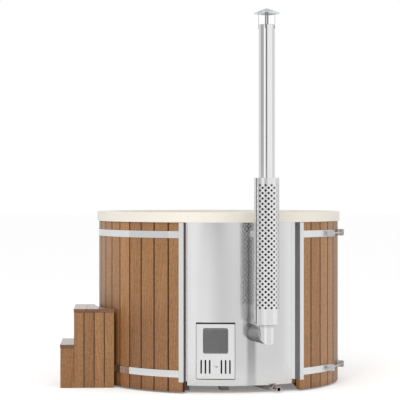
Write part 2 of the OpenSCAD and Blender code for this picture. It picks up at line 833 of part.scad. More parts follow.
cap_inner = concat(
  reversed(arc_points(0, cap_dome_z, cap_dome_r - cap_t, 60, 90)),
  [[cap_d / 2 - cap_t, cap_z + cap_lip_h - 1.2], [cap_d / 2 - cap_t, cap_z]]);
cap_outer = concat(
  [[cap_d / 2, cap_z], [cap_d / 2, cap_z + cap_lip_h]],
  arc_points(0, cap_dome_z, cap_dome_r, 60, 90));
cap_eave = cap_inner[7];
cap_shoulder = cap_inner[6];
cap_pitch = atan((cap_shoulder.y - cap_eave.y) / (cap_eave.x - cap_shoulder.x));

module rain_cap() {
  color(steel)
  around(flue_a) translate([flue_r, 0, 0]) rotate_extrude($fn = 96) polygon(concat(cap_outer, cap_inner));
}

// Four flat legs from the pipe to the cap, each with a foot that lies along the cap's slope
module cap_legs() {
  x = flue_ro + rest_gap;
  z = flue_top - leg_lap;
  knee = [x + leg_t, cap_eave.y + (cap_eave.x - x - leg_t) * tan(cap_pitch) - 3 * rest_gap];
  toe = knee + leg_foot * [-cos(cap_pitch), sin(cap_pitch)];
  under = leg_t * [sin(cap_pitch), cos(cap_pitch)];
  color(steel)
  around(flue_a) translate([flue_r, 0, 0]) for (a = [0 : 90 : 270]) rotate([0, 0, a + cap_turn])
    rotate([90, 0, 0]) linear_extrude(leg_w, center = true)
      polygon([[x, z], [x + leg_t, z], knee, toe, toe - under,
        [x, knee.y - under.y + (knee.x - under.x - x) * tan(cap_pitch)]]);
}

// Drain

module drain_tail() {
  color("black")
  around(drain_a) translate([drain_r, 0, 0]) difference() {
    union() {
      translate([0, 0, bath_floor_h - shell_t - 8]) cylinder(r = drain_hole_r + 4, h = 7.7);
      translate([0, 0, valve_z + drain_bend_r + 8]) cylinder(r = drain_ri - 0.2, h = 40);
      translate([0, 0, bath_floor_h - 16]) cylinder(r = drain_hole_r - 0.3, h = 15);
    }
    translate([0, 0, valve_z]) cylinder(r = drain_ri - 3, h = 100);
  }
}

module drain_pipe() {
  pipe_end = valve_r - valve_len / 2 - 3;
  color("black")
  around(drain_a) {
    difference() {
      union() {
        translate([drain_r, 0, valve_z + drain_bend_r]) cylinder(r = drain_ro, h = 28);
        translate([drain_r + drain_bend_r, 0, valve_z]) rotate([0, 90, 0])
          cylinder(r = drain_ro, h = pipe_end - drain_r - drain_bend_r);
        translate([drain_r + drain_bend_r, 0, valve_z + drain_bend_r]) rotate([90, 0, 0])
          rotate([0, 0, 180]) rotate_extrude(angle = 90) translate([drain_bend_r, 0]) circle(drain_ro, $fn = 48);
      }
      translate([drain_r, 0, valve_z + drain_bend_r]) cylinder(r = drain_ri, h = 30);
      translate([drain_r + drain_bend_r, 0, valve_z]) rotate([0, 90, 0])
        cylinder(r = drain_ri, h = pipe_end - drain_r);
      translate([drain_r + drain_bend_r, 0, valve_z + drain_bend_r]) rotate([90, 0, 0])
        rotate([0, 0, 180]) rotate_extrude(angle = 90) translate([drain_bend_r, 0]) circle(drain_ri, $fn = 48);
    }
  }
}

// A steel clamp at each end of the drain pipe
module pipe_clamps() {
  color("silver")
  around(drain_a) {
    translate([drain_r, 0, valve_z + drain_bend_r + 12]) clamp_ring();
    translate([valve_r - valve_len / 2 - 20, 0, valve_z]) rotate([0, 90, 0]) clamp_ring();
  }
}

module clamp_ring() {
  difference() {
    union() {
      cylinder(r = drain_ro + 1.4, h = 10);
      translate([-4, drain_ro - 1, 1]) cube([8, 9, 8]);
    }
    translate([0, 0, -1]) cylinder(r = drain_ro + 0.1, h = 12);
  }
}

// Ball valve with a hexagon at each end, open at the outlet
module valve_body() {
  half = valve_len / 2;
  color("silver")
  around(drain_a) translate([valve_r, 0, valve_z]) difference() {
    union() {
      translate([-half, 0, 0]) rotate([0, 90, 0]) cylinder(r = 14, h = valve_len);
      translate([half - 14, 0, 0]) rotate([0, 90, 0]) rotate([0, 0, 30])
        cylinder(d = valve_flats / cos(30), h = 14, $fn = 6);
      translate([-half, 0, 0]) rotate([0, 90, 0]) rotate([0, 0, 30])
        cylinder(d = valve_flats / cos(30), h = 12, $fn = 6);
      cylinder(r = 7, h = 20);
      translate([-half - 20, 0, 0]) rotate([0, 90, 0]) cylinder(r = drain_ri - 0.2, h = 21);
    }
    sphere(r = valve_ball_r + valve_seat_gap);
    translate([-half - 21, 0, 0]) rotate([0, 90, 0]) cylinder(r = valve_bore_r, h = valve_len + 22);
    translate([half - outlet_len, 0, 0]) rotate([0, 90, 0]) cylinder(r = outlet_r, h = outlet_len + 1);
    cylinder(r = stem_r + 0.1, h = 30);
  }
}

// Ball with its stem, shown shut: the bore lies across the pipe
module valve_ball() {
  color("silver")
  around(drain_a) translate([valve_r, 0, valve_z]) difference() {
    union() {
      sphere(r = valve_ball_r);
      cylinder(r = stem_r, h = 28.5);
    }
    rotate([90, 0, 0]) cylinder(r = valve_bore_r - 1, h = 40, center = true);
  }
}

// Butterfly handle that lies across the pipe when the valve is shut
module valve_handle() {
  color("firebrick")
  around(drain_a) translate([valve_r, 0, handle_z - 4]) difference() {
    union() {
      cylinder(r = 8, h = handle_t);
      for (side = [-1, 1]) mirror([0, side < 0 ? 1 : 0, 0]) {
        translate([-5, 0, 0]) cube([10, 14, handle_t]);
        translate([0, 13, 0]) rotate([18, 0, 0]) translate([-7, -1, 0]) cube([14, 8, handle_t]);
        translate([0, 20, 2.1]) rotate([18, 0, 0]) cylinder(r = 7, h = handle_t, $fn = 32);
      }
    }
    translate([0, 0, -1]) cylinder(r = stem_r + 0.05, h = 6);
  }
}

module handle_nut() {
  color("silver")
  around(drain_a) translate([valve_r, 0, handle_z - 4 + handle_t + 0.1]) difference() {
    cylinder(d = 11.5, h = 3.5, $fn = 6);
    translate([0, 0, -1]) cylinder(r = stem_r + 0.05, h = 6);
  }
}

// Door: a shallow steel tray that hinges at its lower corners

module door_plate() {
  color(steel)
  around(door_a) difference() {
    union() {
      upright_plate(door_x - door_t, door_x, door_w, door_z, door_z + door_h, 2);
      for (side = [-1, 1])
        translate([door_flange_x, side * (door_w / 2 - door_t / 2) - door_t / 2, door_z + 2])
          cube([door_x - door_flange_x - 1, door_t, door_h - 4]);
      translate([door_flange_x, -door_w / 2 + 2, door_z + door_h - door_t])
        cube([door_x - door_flange_x - 1, door_w - 4, door_t]);
    }
    upright_plate(door_x - 10, door_x + 10, glass_w, glass_z, glass_z + glass_h, glass_r);
    for (y = slots_y) translate([0, y, 0])
      upright_plate(door_x - 10, door_x + 10, slot_w, slot_z, slot_z + slot_h, slot_w / 2 - 0.05);
    translate([0, slide_travel / 2, 0])
      upright_plate(door_x - 10, door_x + 10, knob_slot_h + slide_travel, knob_z - knob_slot_h / 2,
        knob_z + knob_slot_h / 2, knob_slot_h / 2 - 0.05);
    translate([hinge_x, 0, hinge_z]) rotate([90, 0, 0])
      cylinder(r = hinge_pin_r + hinge_fit, h = door_w + 10, center = true, $fn = 32);
  }
}

module door_glass() {
  color("slategray", 0.6)
  around(door_a) upright_plate(pane_x, pane_x + pane_t, glass_w + 2 * pane_lap, glass_z - pane_lap,
    glass_z + glass_h + pane_lap, 4);
}

module glass_frame() {
  lap = pane_lap + pane_frame_w;
  color(dark_steel)
  around(door_a) difference() {
    upright_plate(pane_x - pane_frame_t, door_x - door_t - 0.1, glass_w + 2 * lap, glass_z - lap,
      glass_z + glass_h + lap, 5);
    upright_plate(pane_x - 0.2, door_x, glass_w + 2 * pane_lap + 1, glass_z - pane_lap - 0.5,
      glass_z + glass_h + pane_lap + 0.5, 4);
    upright_plate(pane_x - 10, door_x, glass_w - 4, glass_z + 2, glass_z + glass_h - 2, glass_r - 2);
  }
}

// Two rails behind the door that the air slide runs in
module slide_rails() {
  web = 6;
  lip = 5;
  color(dark_steel)
  around(door_a) for (low = [true, false]) {
    z = low ? slide_z - web - 0.2 : slide_z + slide_h + 0.2;
    translate([slide_x - 2.4, -rail_w / 2, low ? z : z - lip]) cube([2, rail_w, web + lip]);
    translate([slide_x - 1, -rail_w / 2, z]) cube([door_x - door_t - 0.1 - slide_x + 1, rail_w, web]);
  }
}

// Sliding shutter with five slots, whose end shuts the sixth; shown open
module air_slide_plate() {
  color("gray")
  around(door_a) difference() {
    translate([0, (slide_y0 + slide_y1) / 2, 0])
      upright_plate(slide_x, slide_x + slide_t, slide_y1 - slide_y0, slide_z, slide_z + slide_h, 2);
    for (y = slots_y) if (y < slide_y1) translate([0, y, 0])
      upright_plate(slide_x - 5, slide_x + 8, slot_w + 1, slot_z - 2, slot_z + slot_h + 2, slot_w / 2);
    translate([slide_x - 1, 0, knob_z]) rotate([0, 90, 0]) cylinder(r = 2.05, h = 10, $fn = 32);
  }
}

module air_knob() {
  color("silver")
  around(door_a) translate([slide_x + 0.05, 0, knob_z]) rotate([0, 90, 0]) {
    cylinder(r = 2, h = 10, $fn = 32);
    translate([0, 0, door_x - slide_x + 0.8]) cylinder(d1 = knob_d, d2 = knob_d - 3, h = 9, $fn = 48);
  }
}

// Steps: boxed in with upright boards, with the tub side cut to follow the cladding

module clear_of_tub() {
  difference() {
    children();
    translate([0, 0, -10]) cylinder(r = step_scribe_r, h = 1000, $fn = 180);
  }
}

module step_treads() {
  boards = 3;
  upper_w = 82;
  color(wood) {
    translate([-step_end_x - 2, -step_front_y - 2, step_low_h - tread_t])
      cube([step_run + 1.8, step_w + 4, tread_t]);
    clear_of_tub()
    for (i = [0 : boards - 1]) {
      w = i == boards - 1 ? scribed_w : upper_w;
      translate([-upper_x - 2 + i * (upper_w + tread_gap), -step_front_y - 2, step_high_h - tread_t])
        cube([w, step_w + 4, tread_t]);
    }
  }
}

module step_risers() {
  color(wood)
  for (k = [[step_end_x, 0, step_low_h], [upper_x, riser_foot, step_high_h]])
    translate([-k[0], -step_front_y + step_board_t + 0.2, k[1]])
      cube([step_board_t, step_w - 2 * step_board_t - 0.4, k[2] - tread_t - 0.2 - k[1]]);
}

// One side: a short board under the lower tread and taller ones under the upper tread
module step_side(y, tall_boards) {
  tall_w = 65;
  color(wood) {
    translate([-step_end_x, y, 0]) cube([step_run - 1, step_board_t, step_low_h - tread_t - 0.2]);
    clear_of_tub()
    for (i = [0 : tall_boards - 1])
      translate([-upper_x + i * (tall_w + 1), y, 0])
        cube([i == tall_boards - 1 ? scribed_w : tall_w, step_board_t, step_high_h - tread_t - 0.2]);
  }
}

module step_side_front() { step_side(-step_front_y, 4); }
module step_side_back() { step_side(step_back_y - step_board_t, 2); }

// Battens that the boards are screwed to
module step_frame() {
  y0 = -step_front_y + step_board_t + 0.2;
  y1 = step_back_y - step_board_t - 0.2;
  low_top = step_low_h - tread_t - 0.2;
  high_top = step_high_h - tread_t - 0.2;
  color("burlywood") {
    for (y = [y0, y1 - batten]) {
      translate([-step_end_x + step_board_t + 0.2, y, 0]) cube([batten, batten, low_top]);
      translate([-upper_x + step_board_t + 0.2, y, 0]) cube([batten, batten, high_top]);
    }
    translate([-upper_x + step_board_t + 0.2, y0 + batten + 0.2, high_top - batten])
      cube([batten, y1 - y0 - 2 * batten - 0.4, batten]);
    clear_of_tub() for (y = [y0, y1 - batten])
      translate([-upper_x + step_board_t + batten + 0.4, y, high_top - batten])
        cube([scribed_w, batten, batten]);
  }
}

base_bearers();
floor_plate();
floor_insulation();
liner();
drain_strainer();
support_rings();
opening_posts();
panel_header();
staves_left();
staves_back();
staves_right();
upper_band();
lower_band();
upper_lock_brackets();
lower_lock_brackets();
lock_bolts();
lock_nuts();
band_rivets();
trim_left();
trim_right();
front_panel();
stove_body();
hearth_plate();
fire_grate();
ash_pan();
door_collar();
door_gasket();
hinge_arms();
water_pipes();
inlet_grilles();
flue_elbow();
flue_pipe_lower();
flue_pipe_upper();
chimney_guard();
guard_spacers();
guard_bracket();
cap_legs();
rain_cap();
drain_tail();
drain_pipe();
pipe_clamps();
valve_body();
door_plate();
door_glass();
glass_frame();
slide_rails();
air_slide_plate();
air_knob();
valve_ball();
valve_handle();
handle_nut();
step_treads();
step_risers();
step_side_front();
step_side_back();
step_frame();
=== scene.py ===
"""Models and finishes a round wooden hot tub with a built-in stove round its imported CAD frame.

Lengths are in metres. Angles round the tub are measured from -Y, the stove side, towards +X.
"""

import json
import math
import random

import bmesh
import bpy
from mathutils import Matrix, Vector


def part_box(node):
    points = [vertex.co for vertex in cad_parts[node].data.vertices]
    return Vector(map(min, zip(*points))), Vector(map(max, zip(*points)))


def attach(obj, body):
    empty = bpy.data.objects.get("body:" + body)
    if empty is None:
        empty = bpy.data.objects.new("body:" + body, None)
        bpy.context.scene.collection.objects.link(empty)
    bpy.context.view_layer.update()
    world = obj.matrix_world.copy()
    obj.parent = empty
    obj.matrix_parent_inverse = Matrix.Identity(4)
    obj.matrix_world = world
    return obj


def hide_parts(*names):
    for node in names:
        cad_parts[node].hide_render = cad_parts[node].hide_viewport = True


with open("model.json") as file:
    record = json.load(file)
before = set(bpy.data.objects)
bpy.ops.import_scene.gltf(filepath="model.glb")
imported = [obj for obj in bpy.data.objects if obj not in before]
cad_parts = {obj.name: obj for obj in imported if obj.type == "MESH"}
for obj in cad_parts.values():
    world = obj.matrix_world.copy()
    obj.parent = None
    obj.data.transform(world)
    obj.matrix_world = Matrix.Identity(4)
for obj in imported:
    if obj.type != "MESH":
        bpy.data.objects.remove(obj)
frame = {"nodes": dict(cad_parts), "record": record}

bl_info = {
    "name": "Wooden Hot Tub",
    "version": (1, 0, 0),
    "blender": (4, 5, 0),
    "location": "View3D > Sidebar > Hot Tub",
    "description": "Models and finishes a round wooden hot tub with a built-in stove and a chimney",
    "category": "Object",
}

NODES = frame["nodes"]
RECORD = frame["record"]
BODY_OF = {n: body for body, names in RECORD["behaviour"]["bodies"].items() for n in names}
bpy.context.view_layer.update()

BANDS = ("upper_band", "lower_band")
BOARD_GROUPS = ("staves_right", "staves_back", "staves_left")
NEAR = 1e-4             # closer than this counts as the same place
GRAIN_DEPTH = 0.00035   # how deep the grain of the wood stands


# Sizes and colours that a user would change


class HotTubSizes(bpy.types.PropertyGroup):
    """Sizes of the hot tub's modelled pieces"""

    cladding_radius: bpy.props.FloatProperty(
        name="Cladding radius", description="Radius to the middle of a board's face",
        default=0.812, unit="LENGTH")
    board_count: bpy.props.IntProperty(
        name="Boards", description="Boards from one side of the stove opening round to the other",
        default=42)
    board_thickness: bpy.props.FloatProperty(
        name="Board thickness", description="Thickness of a cladding board", default=0.022,
        unit="LENGTH")
    board_gap: bpy.props.FloatProperty(
        name="Board gap", description="Gap between two boards", default=0.002, unit="LENGTH")
    board_round: bpy.props.FloatProperty(
        name="Board edge", description="Rounding of a board's outer edges", default=0.003, unit="LENGTH")
    front_angle: bpy.props.FloatProperty(
        name="Front angle", description="Middle of the stove opening", default=math.radians(8.5),
        unit="ROTATION")
    front_half: bpy.props.FloatProperty(
        name="Half opening", description="Half the angle of the stove opening", default=math.radians(28),
        unit="ROTATION")
    flue_angle: bpy.props.FloatProperty(
        name="Flue angle", description="Angle of the chimney round the tub", default=math.radians(13.8),
        unit="ROTATION")
    flue_distance: bpy.props.FloatProperty(
        name="Flue distance", description="Chimney's axis from the centre of the tub", default=0.998,
        unit="LENGTH")
    flue_radius: bpy.props.FloatProperty(
        name="Flue radius", description="Outer radius of the flue pipe", default=0.050, unit="LENGTH")
    guard_side: bpy.props.FloatProperty(
        name="Guard side", description="From the chimney's axis to a flat of the guard", default=0.0775,
        unit="LENGTH")
    guard_turn: bpy.props.FloatProperty(
        name="Guard turn", description="Angle of one flat of the guard about the chimney",
        default=math.radians(3.3), unit="ROTATION")
    guard_columns: bpy.props.IntProperty(
        name="Guard columns", description="Flats of the guard, each with a column of holes", default=26)
    guard_rows: bpy.props.IntProperty(
        name="Guard rows", description="Holes in the fuller columns of the guard", default=24)
    hole_pitch: bpy.props.FloatProperty(
        name="Hole pitch", description="Distance between two holes of a column", default=0.0329,
        unit="LENGTH")
    hole_radius: bpy.props.FloatProperty(
        name="Hole radius", description="Radius of a hole in the guard", default=0.0075, unit="LENGTH")
    band_width: bpy.props.FloatProperty(
        name="Band width", description="Width of a steel band", default=0.045, unit="LENGTH")
    lock_start: bpy.props.FloatProperty(
        name="Lock start", description="Angle of the lug on the short strap", default=math.radians(58.5),
        unit="ROTATION")
    lock_end: bpy.props.FloatProperty(
        name="Lock end", description="Angle of the lug on the long strap", default=math.radians(76.5),
        unit="ROTATION")


class HotTubColours(bpy.types.PropertyGroup):
    """Colours of the hot tub's finishes"""

    wood_light: bpy.props.FloatVectorProperty(
        name="Wood, light", description="Light grain of the cladding", subtype="COLOR", size=4,
        default=(0.480, 0.240, 0.090, 1))
    wood_dark: bpy.props.FloatVectorProperty(
        name="Wood, dark", description="Dark grain of the cladding", subtype="COLOR", size=4,
        default=(0.215, 0.086, 0.021, 1))
    timber: bpy.props.FloatVectorProperty(
        name="Plain timber", description="Frame timber behind the boards", subtype="COLOR", size=4,
        default=(0.55, 0.36, 0.18, 1))
    bearer: bpy.props.FloatVectorProperty(
        name="Treated timber", description="Weatherproofed bearers on the ground", subtype="COLOR",
        size=4, default=(0.620, 0.600, 0.570, 1))
    liner: bpy.props.FloatVectorProperty(
        name="Liner", description="Gel coat of the moulded liner", subtype="COLOR", size=4,
        default=(0.785, 0.735, 0.645, 1))
    steel: bpy.props.FloatVectorProperty(
        name="Steel", description="Rolled stainless steel", subtype="COLOR", size=4,
        default=(0.70, 0.70, 0.70, 1))
    dark_steel: bpy.props.FloatVectorProperty(
        name="Dark steel", description="Heat-proof paint on the stove", subtype="COLOR", size=4,
        default=(0.030, 0.030, 0.031, 1))
    handle: bpy.props.FloatVectorProperty(
        name="Valve handle", description="Paint of the drain valve's handle", subtype="COLOR", size=4,
        default=(0.32, 0.006, 0.012, 1))


def sizes():
    return bpy.context.scene.hot_tub_sizes


def colours():
    return bpy.context.scene.hot_tub_colours


def joints():
    """Angle of the first joint between the boards, and the angle from one joint to the next."""
    s = sizes()
    return s.front_angle + s.front_half, (2 * math.pi - 2 * s.front_half) / s.board_count


# Modelling helpers


def turned(angle):
    """The matrix that turns +X outwards to an angle round the tub."""
    return Matrix.Rotation(angle - math.pi / 2, 4, "Z")


def pick(obj, *others):
    """Selects these objects and nothing else, with the first one active."""
    bpy.ops.object.select_all(action="DESELECT")
    for o in (obj, *others):
        o.select_set(True)
    bpy.context.view_layer.objects.active = obj


class Editing:
    """Edit mode on one object, with its BMesh, for the length of a with block."""

    def __init__(self, obj, mode="VERT"):
        self.obj, self.mode = obj, mode

    def __enter__(self):
        pick(self.obj)
        bpy.ops.object.mode_set(mode="EDIT")
        bpy.ops.mesh.select_mode(type=self.mode)
        bpy.ops.mesh.select_all(action="DESELECT")
        return bmesh.from_edit_mesh(self.obj.data)

    def __exit__(self, *error):
        bpy.ops.object.mode_set(mode="OBJECT")


def choose(obj, bm, kind, test):
    """Selects the vertices, edges or faces that pass a test, and nothing else."""
    bpy.ops.mesh.select_all(action="DESELECT")
    for item in getattr(bm, kind):
        if test(item):
            item.select_set(True)
    bmesh.update_edit_mesh(obj.data)


def merge(distance=1e-6):
    """Merges the vertices of the mesh in edit mode that lie in one place."""
    bpy.ops.mesh.select_all(action="SELECT")
    bpy.ops.mesh.remove_doubles(threshold=distance)


def middle(edge):
    return (edge.verts[0].co + edge.verts[1].co) / 2


def upright(edge):
    a, b = edge.verts[0].co, edge.verts[1].co
    return abs(a.z - b.z) > NEAR and (a - b).to_2d().length < NEAR


def place(obj, matrix=Matrix.Identity(4)):
    """Puts an object's own place, and then a matrix, into its mesh."""
    pick(obj)
    bpy.ops.object.transform_apply(location=True, rotation=True, scale=True)
    obj.data.transform(matrix)
    return obj


def modify(obj, kind, **settings):
    """Adds a modifier, sets it and applies it."""
    pick(obj)
    modifier = obj.modifiers.new(kind.title(), kind)
    for key, value in settings.items():
        setattr(modifier, key, value)
    bpy.ops.object.modifier_apply(modifier=modifier.name)
    return obj


def smooth(obj, angle=32):
    """Shades smooth, but for the edges sharper than an angle in degrees."""
    pick(obj)
    bpy.ops.object.shade_smooth_by_angle(angle=math.radians(angle))
    return obj


def ease(obj, width, segments=2, angle=35):
    """Rounds the edges sharper than an angle, and keeps the broad faces between them true."""
    modify(obj, "BEVEL", width=width, segments=segments, limit_method="ANGLE",
           angle_limit=math.radians(angle), harden_normals=False)
    return modify(smooth(obj), "WEIGHTED_NORMAL", mode="FACE_AREA", weight=50, keep_sharp=True)


def face_outwards(obj):
    with Editing(obj, "FACE"):
        merge()
        bpy.ops.mesh.normals_make_consistent(inside=False)
    return obj


def copy_of(obj, matrix):
    """A copy with its own mesh, moved by a matrix."""
    twin = obj.copy()
    twin.data = obj.data.copy()
    twin.data.transform(matrix)
    bpy.context.scene.collection.objects.link(twin)
    return twin


def joined(objs):
    pick(*objs)
    bpy.ops.object.join()
    return objs[0]


def block(low, high):
    """A block between two corners."""
    bpy.ops.object.select_all(action="DESELECT")
    low, high = Vector(low), Vector(high)
    bpy.ops.mesh.primitive_cube_add(size=1, location=(low + high) / 2)
    obj = bpy.context.active_object
    obj.scale = high - low
    return place(obj)


def rod(radius, start, end, sides):
    """A round bar from one point to another."""
    bpy.ops.object.select_all(action="DESELECT")
    start, end = Vector(start), Vector(end)
    bpy.ops.mesh.primitive_cone_add(
        vertices=sides, radius1=radius, radius2=radius, depth=(end - start).length)
    aim = (end - start).to_track_quat("Z", "Y").to_matrix().to_4x4()
    return place(bpy.context.active_object, Matrix.Translation((start + end) / 2) @ aim)


def ring(radius, thickness, matrix):
    """A round bead, laid flat about the origin and then moved by a matrix."""
    bpy.ops.object.select_all(action="DESELECT")
    bpy.ops.mesh.primitive_torus_add(
        major_segments=96, minor_segments=10, major_radius=radius, minor_radius=thickness)
    return place(bpy.context.active_object, matrix)


def named(obj, name, material):
    """Names a piece and paints it, unless its parts are painted already."""
    place(obj)
    obj.name = obj.data.name = name
    if material:
        obj.data.materials.clear()
        obj.data.materials.append(material)


def finish(obj, node, material):
    """Finishes a piece, hides the CAD node that it stands for and hangs it on that node's body."""
    named(obj, node + "_finished", material)
    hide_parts(node)
    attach(obj, BODY_OF[node])
    return obj


def extra(obj, node, material, name):
    """Finishes a detail that has no CAD node of its own, carried by the node that it sits on."""
    named(obj, name, material)
    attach(obj, BODY_OF[node])
    return obj


def dressed(node, material, width, segments=2):
    """Lets a merged copy of a CAD node, with its edges eased, stand for the node."""
    obj = bpy.data.objects.new(node + "_finished", NODES[node].data.copy())
    bpy.context.scene.collection.objects.link(obj)
    pick(obj)
    bpy.ops.mesh.customdata_custom_splitnormals_clear()
    with Editing(obj, "FACE"):
        merge(2e-6)
        bpy.ops.mesh.dissolve_limited(angle_limit=math.radians(0.4))
    if width:
        ease(obj, width, segments)
    else:
        smooth(obj)
    return finish(obj, node, material)


def keep(node, material):
    """Gives a CAD node that stays as it is a better material."""
    mesh = NODES[node].data
    mesh.materials.clear()
    mesh.materials.append(material)


# Materials


class Field:
    """A number that varies over a surface: a node's output that takes the usual signs of arithmetic."""

    def __init__(self, socket):
        self.socket, self.tree = socket, socket.id_data

    def maths(self, operation, *others):
        """This number put through a Math node, with the others as its further inputs."""
        values = dict(enumerate((self, *others)))
        return Field(add(self.tree, "Math", values, operation=operation).outputs[0])

    def __add__(self, other):
        return self.maths("ADD", other)

    def __sub__(self, other):
        return self.maths("SUBTRACT", other)

    def __rsub__(self, other):
        return Field(add(self.tree, "Math", {0: other, 1: self}, operation="SUBTRACT").outputs[0])

    def __mul__(self, other):
        return self.maths("MULTIPLY", other)

    def __truediv__(self, other):
        return self.maths("DIVIDE", other)

    def __pow__(self, other):
        return self.maths("POWER", other)

    def held(self):
        """The same number, held between 0 and 1."""
        self.socket.node.use_clamp = True
        return self

    def spread(self, low, high, to_low=0.0, to_high=1.0):
        """This number mapped from one range to another, and held at the ends."""
        return Field(add(self.tree, "MapRange", {
            "Value": self, "From Min": low, "From Max": high, "To Min": to_low,
            "To Max": to_high}).outputs[0])


def feed(socket, value):
    """Sets an input, or links it to the output that it is given."""
    if isinstance(value, Field):
        value = value.socket
    if isinstance(value, bpy.types.NodeSocket):
        socket.id_data.links.new(value, socket)
    else:
        socket.default_value = value


def add(tree, kind, sockets=None, **settings):
    """Adds a node, sets its properties and feeds its inputs."""
    made = tree.nodes.new("ShaderNode" + kind)
    for key, value in settings.items():
        setattr(made, key, value)
    for key, value in (sockets or {}).items():
        feed(made.inputs[key], value)
    return made


def combined(tree, kind, *values):
    """One vector or one colour, for the kind XYZ or Color, from its three values."""
    return add(tree, "Combine" + kind, dict(enumerate(values))).outputs[0]


def grey(tree, side_shade_tone):
    return combined(tree, "Color", side_shade_tone, side_shade_tone, side_shade_tone)


def parted(tree, vector):
    """The x, y and z of a vector."""
    return [Field(output) for output in add(tree, "SeparateXYZ", {0: vector}).outputs]


def scaled(tree, vector, factors):
    return add(tree, "VectorMath", {0: vector, 1: factors}, operation="MULTIPLY").outputs[0]


def measured(tree, operation, *vectors):
    """The number that a LENGTH, DISTANCE or DOT_PRODUCT gives."""
    return Field(add(tree, "VectorMath", dict(enumerate(vectors)), operation=operation).outputs["Value"])


def noise(tree, vector, scale, detail=4.0, roughness=0.55, distortion=0.0):
    return Field(add(tree, "TexNoise", {
        "Vector": vector, "Scale": scale, "Detail": detail, "Roughness": roughness,
        "Distortion": distortion}).outputs["Fac"])


def blend_colour(tree, factor, a, b, mode="MIX"):
    return add(tree, "Mix", {0: factor, 6: a, 7: b}, data_type="RGBA", blend_type=mode).outputs[2]


def group_tree(name, inputs):
    """A new node group with the named inputs and a grain's three outputs, and its two ends."""
    tree = bpy.data.node_groups.new(name, "ShaderNodeTree")
    for socket, kind, default in inputs:
        made = tree.interface.new_socket(socket, in_out="INPUT", socket_type="NodeSocket" + kind)
        if default is not None:
            made.default_value = default
    for socket, kind in (("Colour", "Color"), ("Roughness", "Float"), ("Height", "Float")):
        tree.interface.new_socket(socket, in_out="OUTPUT", socket_type="NodeSocket" + kind)
    return tree, tree.nodes.new("NodeGroupInput").outputs, tree.nodes.new("NodeGroupOutput").inputs


def once(name, shelf="materials"):
    """Lets a material or a node group be built the first time that it is asked for."""
    def wrap(build):
        def get():
            return getattr(bpy.data, shelf).get(name) or build(name)
        return get
    return wrap


@once("Board Grain", "node_groups")
def board_grain(name):
    """Wood: fine fibres, growth bands and pores along Z, from a light and a dark colour."""
    tree, given, out = group_tree(name, (
        ("Vector", "Vector", None), ("Light", "Color", (1, 1, 1, 1)), ("Dark", "Color", (0, 0, 0, 1)),
        ("Board", "Float", 0.0)))
    side_shade_tone = Field(add(tree, "TexWhiteNoise", {"W": given["Board"]},
                     noise_dimensions="1D").outputs["Value"])
    jump = side_shade_tone * 37.0
    slant = (side_shade_tone - 0.5) * parted(tree, given["Vector"])[2] * 0.22
    moved = combined(tree, "XYZ", jump + slant, 0.0, jump)
    vector = add(tree, "VectorMath", {0: given["Vector"], 1: moved}, operation="ADD").outputs[0]
    fibres = noise(tree, scaled(tree, vector, (420, 420, 9)), 1.0, 5.0, 0.62)
    figure = noise(tree, scaled(tree, vector, (46, 46, 1.9)), 1.0, 4.0, 0.55, 0.7)
    pores = noise(tree, scaled(tree, vector, (900, 900, 22)), 1.0, 2.0, 0.5).spread(0.60, 0.74)
    flecks = noise(tree, scaled(tree, vector, (105, 105, 70)), 1.0, 3.0, 0.8, 0.3)
    rings = Field(add(tree, "TexWave", {
        "Vector": scaled(tree, vector, (1, 0.35, 0.035)), "Scale": 16.0, "Distortion": 5.5,
        "Detail": 3.0, "Detail Scale": 1.3, "Detail Roughness": 0.6},
        wave_type="BANDS", bands_direction="X", wave_profile="SIN").outputs["Fac"])
    amount = (fibres.spread(0.28, 0.72) * 0.20 + figure.spread(0.30, 0.70) * 0.22 + rings * 0.16
              + flecks.spread(0.34, 0.66) * 0.52 + pores * 0.15).held()
    colour = blend_colour(tree, amount, given["Light"], given["Dark"])
    shade = side_shade_tone.spread(0.0, 1.0, 0.84, 1.13)
    shades = combined(tree, "Color", shade, shade ** 1.12, shade ** 1.25)
    feed(out["Colour"], blend_colour(tree, 1.0, colour, shades, "MULTIPLY"))
    feed(out["Roughness"], amount.spread(0.0, 1.0, 0.42, 0.60))
    feed(out["Height"], fibres * 0.6 - pores * 0.5)
    return tree


@once("Sheet Grain", "node_groups")
def sheet_grain(name):
    """Metal or paint: drawn-out streaks, slow clouds and smears over one colour."""
    tree, given, out = group_tree(name, (
        ("Vector", "Vector", None), ("Streaks", "Vector", (300, 300, 4)),
        ("Colour", "Color", (1, 1, 1, 1)), ("Roughness", "Float", 0.3), ("Variation", "Float", 0.1),
        ("Cloud Scale", "Float", 4.0)))
    point, cloud_scale = given["Vector"], given["Cloud Scale"]
    streaks = noise(tree, scaled(tree, point, given["Streaks"]), 1.0, 4.0, 0.6)
    clouds = noise(tree, point, cloud_scale, 4.0, 0.6, 0.4)
    smears = noise(tree, scaled(tree, point, (2.0, 2.0, 0.7)), cloud_scale, 2.0, 0.5, 1.2)
    dim = (streaks * 0.45 + clouds * 0.55 - 0.5) * given["Variation"] + 1.0
    feed(out["Colour"], blend_colour(tree, 1.0, given["Colour"], grey(tree, dim), "MULTIPLY"))
    change = (smears - 0.5) * 0.35 + (streaks - 0.5) * 0.30 + 1.0
    feed(out["Roughness"], (change * given["Roughness"]).held())
    feed(out["Height"], streaks)
    return tree


def new_material(name, metallic=0.0):
    """A material with only a Principled shader, its tree and that shader."""
    material = bpy.data.materials.new(name)
    material.use_nodes = True
    shader = material.node_tree.nodes["Principled BSDF"]
    shader.inputs["Metallic"].default_value = metallic
    return material, material.node_tree, shader


def object_point(tree):
    return add(tree, "TexCoord").outputs["Object"]


def out_from_axis(tree):
    """Distance of a point from the tub's upright axis."""
    return measured(tree, "LENGTH", scaled(tree, object_point(tree), (1, 1, 0)))


def aside_from(tree, place_at):
    """Distance of a point from an upright line through a place, seen from above."""
    return measured(tree, "DISTANCE", scaled(tree, object_point(tree), (1, 1, 0)), place_at)


